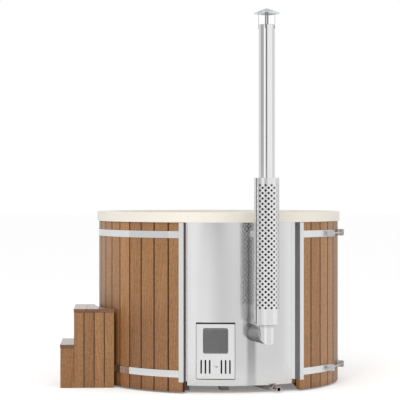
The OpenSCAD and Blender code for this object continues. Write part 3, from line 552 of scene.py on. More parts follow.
def lay(tree, shader, group, sockets, depth):
    """Places a grain, feeds its colour, roughness and height to the shader, and returns its colour."""
    made = add(tree, "Group", sockets, node_tree=group).outputs
    feed(shader.inputs["Base Color"], made["Colour"])
    feed(shader.inputs["Roughness"], made["Roughness"])
    if depth:
        bump = add(tree, "Bump", {"Strength": 1.0, "Distance": depth, "Height": made["Height"]})
        feed(shader.inputs["Normal"], bump.outputs[0])
    return made["Colour"]


def lay_sheet(tree, shader, colour, roughness, streaks, variation, depth, clouds):
    """Lays the grain of metal or paint: streaks says how fine it is along each axis."""
    return lay(tree, shader, sheet_grain(), {
        "Vector": object_point(tree), "Streaks": streaks, "Colour": colour, "Roughness": roughness,
        "Variation": variation, "Cloud Scale": clouds}, depth)


def shaded(tree, shader, colour, factor, warm=False):
    """Dims a colour by a factor on its way to the shader, and blue more than red where it is warm."""
    red, blue = (factor ** 0.75, factor ** 1.3) if warm else (factor, factor)
    dims = combined(tree, "Color", red, factor, blue)
    feed(shader.inputs["Base Color"], blend_colour(tree, 1.0, colour, dims, "MULTIPLY"))


def reflection_glow(tree, shader, colour):
    """Painted light: a glow that only reflections see, sent from a surface to the metal that mirrors it.
    """
    glossy = add(tree, "LightPath").outputs["Is Glossy Ray"]
    feed(shader.inputs["Emission Color"], blend_colour(tree, glossy, (0, 0, 0, 1), colour))
    shader.inputs["Emission Strength"].default_value = 1.0


def groove_shade(count, width, dark=0.0034, clear=0.0060):
    """How much light is left by the oil at the joints between boards, counted across from the first.

    It is darkest within the distance dark of a joint, and gone at the distance clear.
    """
    off_middle = (count.maths("FRACT") - 0.5).maths("ABSOLUTE")
    away = (0.5 - off_middle).maths("MAXIMUM", count.maths("LESS_THAN", 0.5))
    return (away * width).spread(dark, clear, 0.05, 1.0)


@once("Oiled cladding boards")
def cladding_wood(name):
    """Upright boards round the tub: the grain runs along Z and each board has its own tone; a painted
    shadow of the steps darkens the boards next to them.
    """
    material, tree, shader = new_material(name)
    first, pitch = joints()
    width = pitch * sizes().cladding_radius
    x, y, z = parted(tree, object_point(tree))
    angle = x.maths("ARCTAN2", y * -1.0).maths("WRAP", first + 2 * math.pi, first)
    count = (angle - first) / pitch
    vector = combined(tree, "XYZ", count.maths("FRACT") * width, out_from_axis(tree), z)
    colour = lay(tree, shader, board_grain(), {
        "Vector": vector, "Light": colours().wood_light, "Dark": colours().wood_dark,
        "Board": count.maths("FLOOR")}, GRAIN_DEPTH)
    # the boards darken over their lowest few centimetres
    foot = z.spread(0.008, 0.05, 0.80, 1.0)
    # painted shadow of the steps: darker near the steps and below about half a metre
    step_shadow_at, step_shadow_reach, step_shadow_height = (-0.72, -0.62, 0), (0.10, 0.45), (0.35, 0.62)
    clear_of_step_shadow = aside_from(tree, step_shadow_at).spread(*step_shadow_reach).maths("MAXIMUM", z.spread(*step_shadow_height))
    step_shadow = clear_of_step_shadow.spread(0.0, 1.0, 0.70, 1.0)
    groove = groove_shade(count, width)
    shaded(tree, shader, colour, foot * step_shadow * groove, warm=True)
    feed(shader.inputs["Coat Weight"], groove * 0.30)
    shader.inputs["Coat Roughness"].default_value = 0.28
    return material


def board_wood(name, light, dark, axes, pitch, offset, grooved=False, front=None, coat=(0.30, 0.28)):
    """Boards laid side by side from an offset; axes names across, deep and along, and pitch is a width.

    Grooved boards are darker at their joints, and at their end grain up to the place front, along them.
    The coat is given by its weight and its roughness.
    """
    material, tree, shader = new_material(name)
    split = parted(tree, object_point(tree))
    across, deep, along = (split["XYZ".index(letter)] for letter in axes)
    count = (across - offset) / pitch
    colour = lay(tree, shader, board_grain(), {
        "Vector": combined(tree, "XYZ", across, deep, along), "Light": light, "Dark": dark,
        "Board": count.maths("MAXIMUM", -1.0).maths("FLOOR")}, GRAIN_DEPTH)
    if grooved:
        shade = groove_shade(count, pitch, 0.0018, 0.0044)
        if front is not None:
            inside = along.maths("GREATER_THAN", front)
            shade = (shade * inside).maths("MAXIMUM", (1.0 - inside) * 0.42)
        shaded(tree, shader, colour, shade, warm=True)
    shader.inputs["Coat Weight"].default_value, shader.inputs["Coat Roughness"].default_value = coat
    return material


def darker(colour, factor):
    return [factor * c for c in colour[:3]] + [1]


def step_colours():
    return darker(colours().wood_light, 0.90), darker(colours().wood_dark, 0.84)


@once("Oiled step side boards")
def step_side_wood(name):
    return board_wood(name, *step_colours(), "XYZ", pitch=0.066, offset=-0.9715, grooved=True)


@once("Oiled step treads")
def tread_wood(name):
    return board_wood(name, *step_colours(), "XZY", pitch=0.083, offset=-0.9735, grooved=True,
                      front=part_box("step_treads")[0].y + 0.0015, coat=(1.0, 0.16))


@once("Oiled step risers")
def riser_wood(name):
    """Boards whose dark back gets a painted glow that only the band mirroring it sees, so it shows a
    little paler there.
    """
    material = board_wood(name, *step_colours(), "YXZ", pitch=0.5, offset=-0.5)
    reflection_glow(material.node_tree, material.node_tree.nodes["Principled BSDF"], (0.085, 0.042, 0.020, 1))
    return material


@once("Planed frame timber")
def frame_timber(name):
    timber = colours().timber
    return board_wood(name, timber, darker(timber, 0.72), "XYZ", pitch=0.25, offset=-2.0)


@once("Treated bearer timber")
def bearer_timber(name):
    bearer = colours().bearer
    return board_wood(name, bearer, darker(bearer, 0.6), "XZY", pitch=0.255, offset=-0.6375)


# Finishes that are alike all over: metallic, colour or its name in the panel, roughness, streaks along
# X, Y and Z, variation, depth of the bumps and scale of the clouds
PLAIN_FINISHES = {
    "Satin door steel": (1.0, (0.90, 0.90, 0.90, 1), 0.36, (160, 160, 160), 0.06, 0.00002, 9.0),
    "Satin angle steel": (1.0, (0.76, 0.76, 0.755, 1), 0.38, (420, 420, 4), 0.07, 0.00002, 6.0),
    "Bright band steel": (1.0, (0.78, 0.78, 0.775, 1), 0.10, (30, 30, 700), 0.05, 0.00001, 8.0),
    "Zinc lock steel": (0.7, (0.64, 0.63, 0.66, 1), 0.36, (180, 180, 180), 2.4, 0.00008, 160.0),
    "Smoked leg steel": (1.0, (0.30, 0.31, 0.33, 1), 0.30, (120, 120, 120), 0.10, 0.00001, 20.0),
    "Rolled flue steel": (1.0, (0.66, 0.66, 0.66, 1), 0.20, (350, 350, 6), 0.10, 0.00002, 5.0),
    "Stove paint": (0.0, "dark_steel", 0.62, (900, 900, 900), 0.5, 0.00008, 12.0),
    "Cast grate iron": (0.0, (0.035, 0.033, 0.031, 1), 0.78, (260, 260, 260), 0.8, 0.0004, 12.0),
    "Insulation board": (0.0, (0.60, 0.50, 0.26, 1), 0.85, (400, 400, 400), 0.3, 0.0006, 12.0),
    "Rope seal": (0.0, (0.055, 0.052, 0.050, 1), 0.92, (420, 420, 420), 1.2, 0.0012, 12.0),
    "White fitting plastic": (0.0, (0.74, 0.74, 0.72, 1), 0.42, (350, 350, 350), 0.05, 0.00005, 12.0),
    "Grey drain pipe": (0.0, (0.68, 0.68, 0.67, 1), 0.48, (500, 500, 500), 0.1, 0.0001, 12.0),
    "Red handle coating": (0.0, "handle", 0.34, (240, 240, 240), 0.15, 0.00006, 12.0),
}


def plain(name):
    """A finish from the table, built the first time that it is asked for."""
    if name in bpy.data.materials:
        return bpy.data.materials[name]
    metallic, colour, *grain = PLAIN_FINISHES[name]
    material, tree, shader = new_material(name, metallic)
    lay_sheet(tree, shader, getattr(colours(), colour) if isinstance(colour, str) else colour, *grain)
    return material


@once("Brushed panel steel")
def panel_steel(name):
    """Brushed sheet with a painted reflection of the flue: a faint dark band below it."""
    material, tree, shader = new_material(name, 1.0)
    colour = lay_sheet(tree, shader, colours().steel, 0.13, (300, 300, 5), 0.05, 0.000006, 3.0)
    x, _, z = parted(tree, object_point(tree))
    # painted reflection of the flue and its elbow, a dark band down the panel below them
    reflection_x, reflection_sides, reflection_top, reflection_foot = 0.162, (0.017, 0.038), (0.42, 0.52), (0.06, 0.30)
    clear_of_reflection = (x - reflection_x).maths("ABSOLUTE").spread(*reflection_sides).maths("MAXIMUM", z.spread(*reflection_top))
    reflection_depth = z.spread(*reflection_foot, 0.74, 0.54)
    shaded(tree, shader, colour, reflection_depth + clear_of_reflection * (1.0 - reflection_depth))
    return material


@once("Weathered cap steel")
def cap_steel(name):
    """A painted reflection darkens the outer slope; the lip and the underside stay bright."""
    material, tree, shader = new_material(name, 1.0)
    colour = lay_sheet(tree, shader, (0.88, 0.92, 0.97, 1), 0.26, (120, 120, 120), 0.10, 0.00001, 20.0)
    lip_height, foot_radius, top_radius, slope = 0.005, 0.0785, 0.0135, 0.375
    skin = (-0.0008, -0.0004)
    aside = aside_from(tree, turned(sizes().flue_angle) @ Vector((sizes().flue_distance, 0, 0)))
    rise = (foot_radius - aside.maths("MAXIMUM", top_radius)) * slope
    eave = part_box("rain_cap")[0].z + lip_height
    above = parted(tree, object_point(tree))[2] - eave - rise
    # painted reflection: the outer slope is darker than the lip and the underside
    shaded(tree, shader, colour, above.spread(*skin, 1.0, 0.66))
    return material


@once("Perforated guard steel")
def guard_steel(name):
    """Bright in front, with painted shade on the side that faces the tub."""
    material, tree, shader = new_material(name, 1.0)
    colour = lay_sheet(tree, shader, (0.80, 0.80, 0.80, 1), 0.22, (240, 240, 8), 0.08, 0.00001, 6.0)
    # painted shade on the side of the guard that faces the tub
    shaded(tree, shader, colour, out_from_axis(tree).spread(0.925, 0.960, 0.80, 1.0))
    return material


@once("Nickel valve plating")
def valve_plating(name):
    """Bright plating outside, with painted shade inside the bore."""
    material, tree, shader = new_material(name, 1.0)
    colour = lay_sheet(tree, shader, (0.66, 0.65, 0.62, 1), 0.20, (220, 220, 220), 0.14, 0.00002, 40.0)
    bore_turn, bore_height, bore_wall = math.radians(24), 0.024, (0.0121, 0.0127)
    point = object_point(tree)
    sideways = measured(tree, "DOT_PRODUCT", point, (math.cos(bore_turn), math.sin(bore_turn), 0))
    upwards = parted(tree, point)[2] - bore_height
    away = measured(tree, "LENGTH", combined(tree, "XYZ", sideways, upwards, 0.0))
    # painted shade inside the bore
    shaded(tree, shader, colour, away.spread(*bore_wall, 0.03, 1.0))
    return material


@once("Heat-stained stub steel")
def stub_steel(name):
    """Dulled up to the mitre, with painted shade there that is deepest underneath, a painted shadow below
    the guard, and bright where it turns upwards.
    """
    material, tree, shader = new_material(name, 1.0)
    z = parted(tree, object_point(tree))[2]
    low, guard_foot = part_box("flue_elbow")[0].z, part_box("chimney_guard")[0].z
    mitre = sizes().flue_distance + sizes().flue_radius + low
    riser = (out_from_axis(tree) + z - mitre).spread(-0.003, 0.001)  # the arm past the mitre
    colour = lay_sheet(tree, shader, (0.78, 0.78, 0.78, 1), riser.spread(0.0, 1.0, 0.40, 0.13),
                       (90, 90, 90), 0.04, 0.000004, 9.0)
    # painted shade on the stub, deepest underneath, and the guard's painted shadow on the pipe below it
    stub_shade = (z.spread(low + 0.020, low + 0.082) ** 1.6).spread(0.0, 1.0, 0.22, 1.0)
    guard_shadow = z.spread(guard_foot - 0.026, guard_foot - 0.004, 1.0, 0.66)
    shaded(tree, shader, colour, stub_shade.maths("MAXIMUM", riser) * guard_shadow)
    return material


@once("Heat-tinted flue steel")
def guard_darkened_steel(name):
    """The pipe is dark between the foot and the head of the guard, and bright above and below."""
    material, tree, shader = new_material(name, 1.0)
    colour = lay_sheet(tree, shader, (0.80, 0.80, 0.80, 1), 0.10, (350, 350, 6), 0.06, 0.00001, 5.0)
    guard_foot, guard_head = (0.47, 0.54), (1.34, 1.37)
    point = object_point(tree)
    ragged = parted(tree, point)[2] + noise(tree, point, 9.0) * 0.05
    inside_guard = ragged.spread(*guard_foot) * ragged.spread(*guard_head, 1.0, 0.0)
    feed(shader.inputs["Base Color"], blend_colour(tree, inside_guard, colour, (0.06, 0.058, 0.056, 1)))
    return material


@once("Dark return edge")
def return_paint(name):
    """The angle's inner leg, painted dark, with painted shade that makes the left leg darker than the
    right, and a painted glow that makes it pale in the panel's reflection.
    """
    material, tree, shader = new_material(name)
    # painted shade: the left leg is darker than the right, as the light falls
    left_x, right_x = -0.25, 0.57
    side_shade_tone = parted(tree, object_point(tree))[0].spread(left_x, right_x, 0.030, 0.215)
    lay_sheet(tree, shader, grey(tree, side_shade_tone), 0.45, (600, 600, 600), 0.25, 0.00003, 12.0)
    reflection_glow(tree, shader, (0.85, 0.85, 0.85, 1))
    return material


@once("Gel coat")
def gel_coat(name):
    """Warm off-white gloss with a faint ripple and a little dust."""
    material, tree, shader = new_material(name)
    lay_sheet(tree, shader, colours().liner, 0.30, (40, 40, 40), 0.035, 0.00006, 7.0)
    shader.inputs["Coat Weight"].default_value = 0.35
    shader.inputs["Coat Roughness"].default_value = 0.12
    return material


@once("Smoked door glass")
def door_glass(name):
    """Glass greyed by soot, with the pale seal behind its upper and lower edges."""
    material, tree, shader = new_material(name)
    low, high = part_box("door_glass")
    z = parted(tree, object_point(tree))[2]
    lower_middle, lower_half, upper_middle, upper_half = low.z + 0.009, 0.004, high.z - 0.014, 0.006
    lower_seal = z.maths("COMPARE", lower_middle, lower_half)
    upper_seal = z.maths("COMPARE", upper_middle, upper_half)
    side_shade_tone = lower_seal * 0.17 + upper_seal * 0.05 + 0.155
    lay_sheet(tree, shader, grey(tree, side_shade_tone), 0.10, (60, 60, 30), 0.45, 0, 14.0)
    shader.inputs["Transmission Weight"].default_value = 0.25
    shader.inputs["IOR"].default_value = 1.5
    return material


# Operators, one for each piece or group of like pieces


class HotTubOperator(bpy.types.Operator):
    """What the operators below have in common"""

    bl_options = {"REGISTER", "UNDO"}


class HOTTUB_OT_cladding(HotTubOperator):
    """Cladding boards with rounded edges, one by one round the tub"""

    bl_idname = "hottub.cladding"
    bl_label = "Cladding Boards"

    def one_board(self, low, high, pitch):
        """A board that faces +X, with the tongue that closes the gap to the next board."""
        s = sizes()
        outer = s.cladding_radius
        inner = outer - s.board_thickness
        half = outer * math.tan(pitch / 2) - s.board_gap / 2
        end_round = 0.0012
        tongue_depth, tongue_reach, inset = (0.012, 0.009), 0.0042, 0.001
        obj = block((inner, -half, low), (outer, half, high))
        with Editing(obj, "FACE") as bm:
            choose(obj, bm, "faces", lambda f: f.normal.x < -0.9)
            bpy.ops.transform.resize(value=(1, inner / outer, 1))
        with Editing(obj, "EDGE") as bm:
            choose(obj, bm, "edges", lambda e: upright(e) and middle(e).x > outer - NEAR)
            bpy.ops.mesh.bevel(offset=s.board_round, segments=3, affect="EDGES")
            choose(obj, bm, "edges", lambda e: not upright(e) and middle(e).x > outer - NEAR)
            bpy.ops.mesh.bevel(offset=end_round, segments=2, affect="EDGES")
        tongue = block((outer - tongue_depth[0], half - inset, low + inset),
                       (outer - tongue_depth[1], half + tongue_reach, high - inset))
        return joined([obj, tongue])

    def execute(self, context):
        low, high = (corner.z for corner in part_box("staves_back"))
        first, pitch = joints()
        model = self.one_board(low, high, pitch)
        draw = random.Random(7)
        sunk, leaning = 0.0004, 0.0012
        each = sizes().board_count // len(BOARD_GROUPS)
        for k, node in enumerate(BOARD_GROUPS):
            boards = []
            for i in range(k * each, (k + 1) * each):
                shift = Matrix.Translation((draw.uniform(-sunk, 0.0), 0, 0))
                lean = Matrix.Rotation(draw.uniform(-leaning, leaning), 4, "Z")
                boards.append(copy_of(model, turned(first + (i + 0.5) * pitch) @ shift @ lean))
            finish(smooth(joined(boards)), node, cladding_wood())
        bpy.data.objects.remove(model)
        return {"FINISHED"}


class HOTTUB_OT_bands(HotTubOperator):
    """Steel bands, bent a little at each joint between two boards"""

    bl_idname = "hottub.bands"
    bl_label = "Steel Bands"

    def strap(self, low, a0, a1):
        """A strap from the angle a0 to a1, bent at the joints between the boards."""
        s = sizes()
        off_boards, thickness, bend_round, edge_round = 0.0022, 0.0018, 0.0025, 0.0004
        shallow_bend = (0.02, 0.5)
        first, pitch = joints()
        start = first + math.floor((a0 - first) / pitch) * pitch
        steps = math.ceil((a1 - start) / pitch - NEAR)
        r = s.cladding_radius + off_boards
        obj = block((r, 0, low), (r + thickness, thickness, low + s.band_width))
        with Editing(obj, "FACE") as bm:
            # only the end face stays, to be spun
            choose(obj, bm, "faces", lambda f: f.normal.y > -0.9)
            bpy.ops.mesh.delete(type="FACE")
            bpy.ops.mesh.select_all(action="SELECT")
            # a negative angle, because spin turns clockwise seen from above
            bpy.ops.mesh.spin(steps=steps, angle=-steps * pitch, center=(0, 0, 0), axis=(0, 0, 1))
            merge()
        obj.data.transform(turned(start))
        for angle, is_start in ((a0, True), (a1, False)):
            with Editing(obj):
                bpy.ops.mesh.select_all(action="SELECT")
                bpy.ops.mesh.bisect(plane_co=(0, 0, 0), plane_no=turned(angle) @ Vector((0, 1, 0)),
                                    use_fill=True, clear_inner=is_start, clear_outer=not is_start)
        face_outwards(obj)
        with Editing(obj, "EDGE") as bm:
            choose(obj, bm, "edges", lambda e: upright(e) and len(e.link_faces) == 2
                   and shallow_bend[0] < e.calc_face_angle(0) < shallow_bend[1])
            bpy.ops.mesh.bevel(offset=bend_round, segments=2, affect="EDGES")
        return ease(obj, edge_round, segments=1, angle=60)

    def execute(self, context):
        s = sizes()
        first, pitch = joints()
        under_angle = math.asin(0.0302 / 0.814)  # the boards that the steel angle covers
        lug = 2 * math.asin(0.018 / 0.816)       # the folded foot of a lug
        half = first + s.board_count // 2 * pitch
        for node in BANDS:
            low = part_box(node)[0].z
            parts = [self.strap(low, a0, a1) for a0, a1 in (
                (first + under_angle, s.lock_start + lug), (s.lock_end - lug, half),
                (half, 2 * math.pi + s.front_angle - s.front_half - under_angle))]
            finish(smooth(joined(parts), angle=1), node, plain("Bright band steel"))
        return {"FINISHED"}


class HOTTUB_OT_locks(HotTubOperator):
    """Band locks: brackets, bolts, nuts and rivets with eased edges"""

    bl_idname = "hottub.locks"
    bl_label = "Band Locks"

    def execute(self, context):
        for node in ("upper_lock_brackets", "lower_lock_brackets"):
            dressed(node, plain("Zinc lock steel"), 0.0006)
        for node in ("lock_bolts", "lock_nuts", "band_rivets"):
            dressed(node, plain("Zinc lock steel"), 0.0004)
        return {"FINISHED"}


class HOTTUB_OT_liner(HotTubOperator):
    """Moulded liner: bath with its bench, the deck over the stove, and the rim"""

    bl_idname = "hottub.liner"
    bl_label = "Moulded Liner"

    def execute(self, context):
        dressed("liner", gel_coat(), 0.0022, segments=3)
        dressed("drain_strainer", plain("Satin door steel"), 0.0005)
        dressed("inlet_grilles", plain("White fitting plastic"), 0.0006)
        keep("water_pipes", plain("Rolled flue steel"))
        return {"FINISHED"}


class HOTTUB_OT_timber(HotTubOperator):
    """Bearers, floor, rings and posts behind the boards"""

    bl_idname = "hottub.timber"
    bl_label = "Frame Timber"

    def execute(self, context):
        dressed("base_bearers", bearer_timber(), 0.002)
        for node in ("floor_plate", "support_rings", "opening_posts"):
            keep(node, frame_timber())
        keep("floor_insulation", plain("Insulation board"))
        keep("panel_header", plain("Stove paint"))
        return {"FINISHED"}


class HOTTUB_OT_angles(HotTubOperator):
    """Steel angles at the stove opening, each with a dark return and a wooden foot"""

    bl_idname = "hottub.angles"
    bl_label = "Opening Angles"

    def execute(self, context):
        s = sizes()
        face_radii, leg_radius, leg_gap = (0.814, 0.8165), 0.764, 0.0001
        leg_thickness, face_width = 0.0025, 0.030
        foot_radii, foot_sides, foot_gap = (0.774, 0.789), (0.0012, 0.016), 0.0005
        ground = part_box("staves_back")[0].z
        for node, side in (("trim_left", -1), ("trim_right", 1)):
            low, high = (corner.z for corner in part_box(node))
            turn = turned(s.front_angle + side * s.front_half) @ Matrix.Scale(side, 4, (0, 1, 0))
            face = block((face_radii[0], -leg_thickness, low), (face_radii[1], face_width, high))
            leg = block((leg_radius, -leg_thickness, low), (face_radii[0] - leg_gap, 0, high))
            ease(face, 0.0007)
            ease(leg, 0.0004, segments=1)
            face.data.materials.append(plain("Satin angle steel"))
            leg.data.materials.append(return_paint())
            obj = joined([face, leg])
            obj.data.transform(turn)
            if side < 0:
                face_outwards(obj)
            finish(smooth(obj), node, None)
            foot = block((foot_radii[0], foot_sides[0], ground),
                         (foot_radii[1], foot_sides[1], low - foot_gap))
            foot.data.transform(turn)
            extra(ease(face_outwards(foot), 0.001), "opening_posts", cladding_wood(), "foot_of_" + node)
        return {"FINISHED"}


class HOTTUB_OT_panel(HotTubOperator):
    """Curved front panel with its openings for the stove door and the flue"""

    bl_idname = "hottub.panel"
    bl_label = "Front Panel"

    def execute(self, context):
        dressed("front_panel", panel_steel(), 0.0005)
        return {"FINISHED"}


class HOTTUB_OT_stove(HotTubOperator):
    """Stove body, grate, ash pan, collar, rope seal and hinge arms"""

    bl_idname = "hottub.stove"
    bl_label = "Stove"

    def execute(self, context):
        for node in ("stove_body", "ash_pan", "door_collar"):
            dressed(node, plain("Stove paint"), 0.001)
        keep("hearth_plate", plain("Insulation board"))
        dressed("fire_grate", plain("Cast grate iron"), 0.0015)
        dressed("door_gasket", plain("Rope seal"), 0.0015)
        dressed("hinge_arms", plain("Satin door steel"), 0.0003)
        return {"FINISHED"}


class HOTTUB_OT_door(HotTubOperator):
    """Stove door with its window, frame, rails, air slide and knob"""

    bl_idname = "hottub.door"
    bl_label = "Stove Door"

    def execute(self, context):
        dressed("door_plate", plain("Satin door steel"), 0.0006)
        dressed("door_glass", door_glass(), 0.0005)
        for node in ("glass_frame", "slide_rails", "air_slide_plate"):
            dressed(node, plain("Stove paint"), 0.0004)
        dressed("air_knob", plain("Zinc lock steel"), 0.0008)
        return {"FINISHED"}


class HOTTUB_OT_flue(HotTubOperator):
    """Flue pipes, mitred elbow, cap and its legs"""

    bl_idname = "hottub.flue"
    bl_label = "Flue"

    def execute(self, context):
        s = sizes()
        dressed("flue_elbow", stub_steel(), 0.0004)
        dressed("flue_pipe_lower", guard_darkened_steel(), 0.0004)
        dressed("flue_pipe_upper", guard_darkened_steel(), 0.0006)
        dressed("cap_legs", plain("Smoked leg steel"), 0.0003)
        dressed("rain_cap", cap_steel(), 0.0004)
        sunk, thickness = (0.001, 0.0012), 0.0016
        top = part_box("flue_pipe_upper")[1].z - sunk[1]
        bead = ring(s.flue_radius - sunk[0], thickness,
                    turned(s.flue_angle) @ Matrix.Translation((s.flue_distance, 0, top)))
        extra(smooth(bead), "flue_pipe_upper", plain("Rolled flue steel"), "flue_rolled_edge")
        return {"FINISHED"}


class HOTTUB_OT_guard(HotTubOperator):
    """Perforated guard, rolled from a flat sheet with staggered holes"""

    bl_idname = "hottub.guard"
    bl_label = "Chimney Guard"

    def flat(self, low, high, first, count):
        """One flat of the guard with its column of holes, facing +X and open at its two sides."""
        s = sizes()
        thickness, overshoot = 0.0014, 0.002
        outer, inner, lean = s.guard_side, s.guard_side - thickness, math.tan(math.pi / s.guard_columns)
        obj = block((inner, -outer * lean, low), (outer, outer * lean, high))
        with Editing(obj, "FACE") as bm:
            choose(obj, bm, "faces", lambda f: f.normal.x < -0.9)
            bpy.ops.transform.resize(value=(1, inner / outer, 1))
        drill = rod(s.hole_radius, (inner - overshoot, 0, first), (outer + overshoot, 0, first), sides=20)
        drills = joined([drill] + [copy_of(drill, Matrix.Translation((0, 0, i * s.hole_pitch)))
                                   for i in range(1, count)])
        modify(obj, "BOOLEAN", operation="DIFFERENCE", object=drills, solver="EXACT")
        bpy.data.objects.remove(drills)
        with Editing(obj, "FACE") as bm:
            choose(obj, bm, "faces", lambda f: abs(f.normal.y) > 0.5
                   and abs(f.calc_center_median().y) > inner * lean)
            bpy.ops.mesh.delete(type="ONLY_FACE")
        return obj

    def execute(self, context):
        s = sizes()
        low, high = (corner.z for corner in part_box("chimney_guard"))
        lowest_hole, fold_round = 0.562, 0.0008
        flats = [self.flat(low, high, lowest_hole, s.guard_rows),
                 self.flat(low, high, lowest_hole + s.hole_pitch / 2, s.guard_rows - 1)]
        step = 2 * math.pi / s.guard_columns
        obj = joined([copy_of(flats[i % 2], Matrix.Rotation(i * step, 4, "Z"))
                      for i in range(s.guard_columns)])
        for flat in flats:
            bpy.data.objects.remove(flat)
        with Editing(obj, "EDGE") as bm:
            merge(1e-5)
            choose(obj, bm, "edges", lambda e: upright(e) and e.calc_length() > 0.5)
            bpy.ops.mesh.bevel(offset=fold_round, segments=2, affect="EDGES")
        stand = turned(s.flue_angle) @ Matrix.Translation((s.flue_distance, 0, 0))
        obj.data.transform(stand @ Matrix.Rotation(s.guard_turn, 4, "Z"))
        finish(smooth(obj, angle=6), "chimney_guard", guard_steel())
        # painted shadow: a dark strip stands for the shadow in the gap of the guard's lap seam
        seam_shadow_turn, seam_shadow_half, seam_shadow_depths, inset = math.radians(-74.5), 0.0036, (-0.0003, 0.0010), 0.001
        seam_shadow = block((s.guard_side + seam_shadow_depths[0], -seam_shadow_half, low + inset),
                     (s.guard_side + seam_shadow_depths[1], seam_shadow_half, high - inset))
        seam_shadow.data.transform(stand @ Matrix.Rotation(seam_shadow_turn, 4, "Z"))
        extra(ease(seam_shadow, 0.0003, segments=1), "chimney_guard", plain("Stove paint"), "guard_seam_strip")
        dressed("guard_spacers", guard_steel(), 0.0003)
        dressed("guard_bracket", plain("Satin door steel"), 0.0006)
        return {"FINISHED"}


class HOTTUB_OT_drain(HotTubOperator):
    """Drain valve, its handle, the pipe and the clamps"""

    bl_idname = "hottub.drain"
    bl_label = "Drain"

    def execute(self, context):
        dressed("valve_body", valve_plating(), 0.0006)
        dressed("valve_ball", valve_plating(), 0)
        dressed("valve_handle", plain("Red handle coating"), 0.0006)
        dressed("handle_nut", plain("Zinc lock steel"), 0.0004)
        dressed("drain_pipe", plain("Grey drain pipe"), 0.0004)
        dressed("pipe_clamps", plain("Zinc lock steel"), 0.0004)
        keep("drain_tail", plain("White fitting plastic"))
        return {"FINISHED"}


class HOTTUB_OT_steps(HotTubOperator):
    """Loose steps: treads, risers, side boards and their frame"""

    bl_idname = "hottub.steps"
    bl_label = "Steps"

    def execute(self, context):
        dressed("step_treads", tread_wood(), 0.0018, segments=3)
        dressed("step_risers", riser_wood(), 0.0012)
        for node in ("step_side_front", "step_side_back"):
            dressed(node, step_side_wood(), 0.0022, segments=3)
        first_joint, board, half = 0.0885, 0.083, 0.003
        front_inset, back_inset, depths = 0.004, 0.2, (0.016, 0.009)
        low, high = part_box("step_treads")
        for i in (1, 2):
            x = low.x + first_joint + i * board
            strip = block((x - half, low.y + front_inset, high.z - depths[0]),
                          (x + half, high.y - back_inset, high.z - depths[1]))
            extra(smooth(strip), "step_treads", riser_wood(), "tread_joint_strip_%d" % i)
        dressed("step_frame", frame_timber(), 0.001)
        return {"FINISHED"}


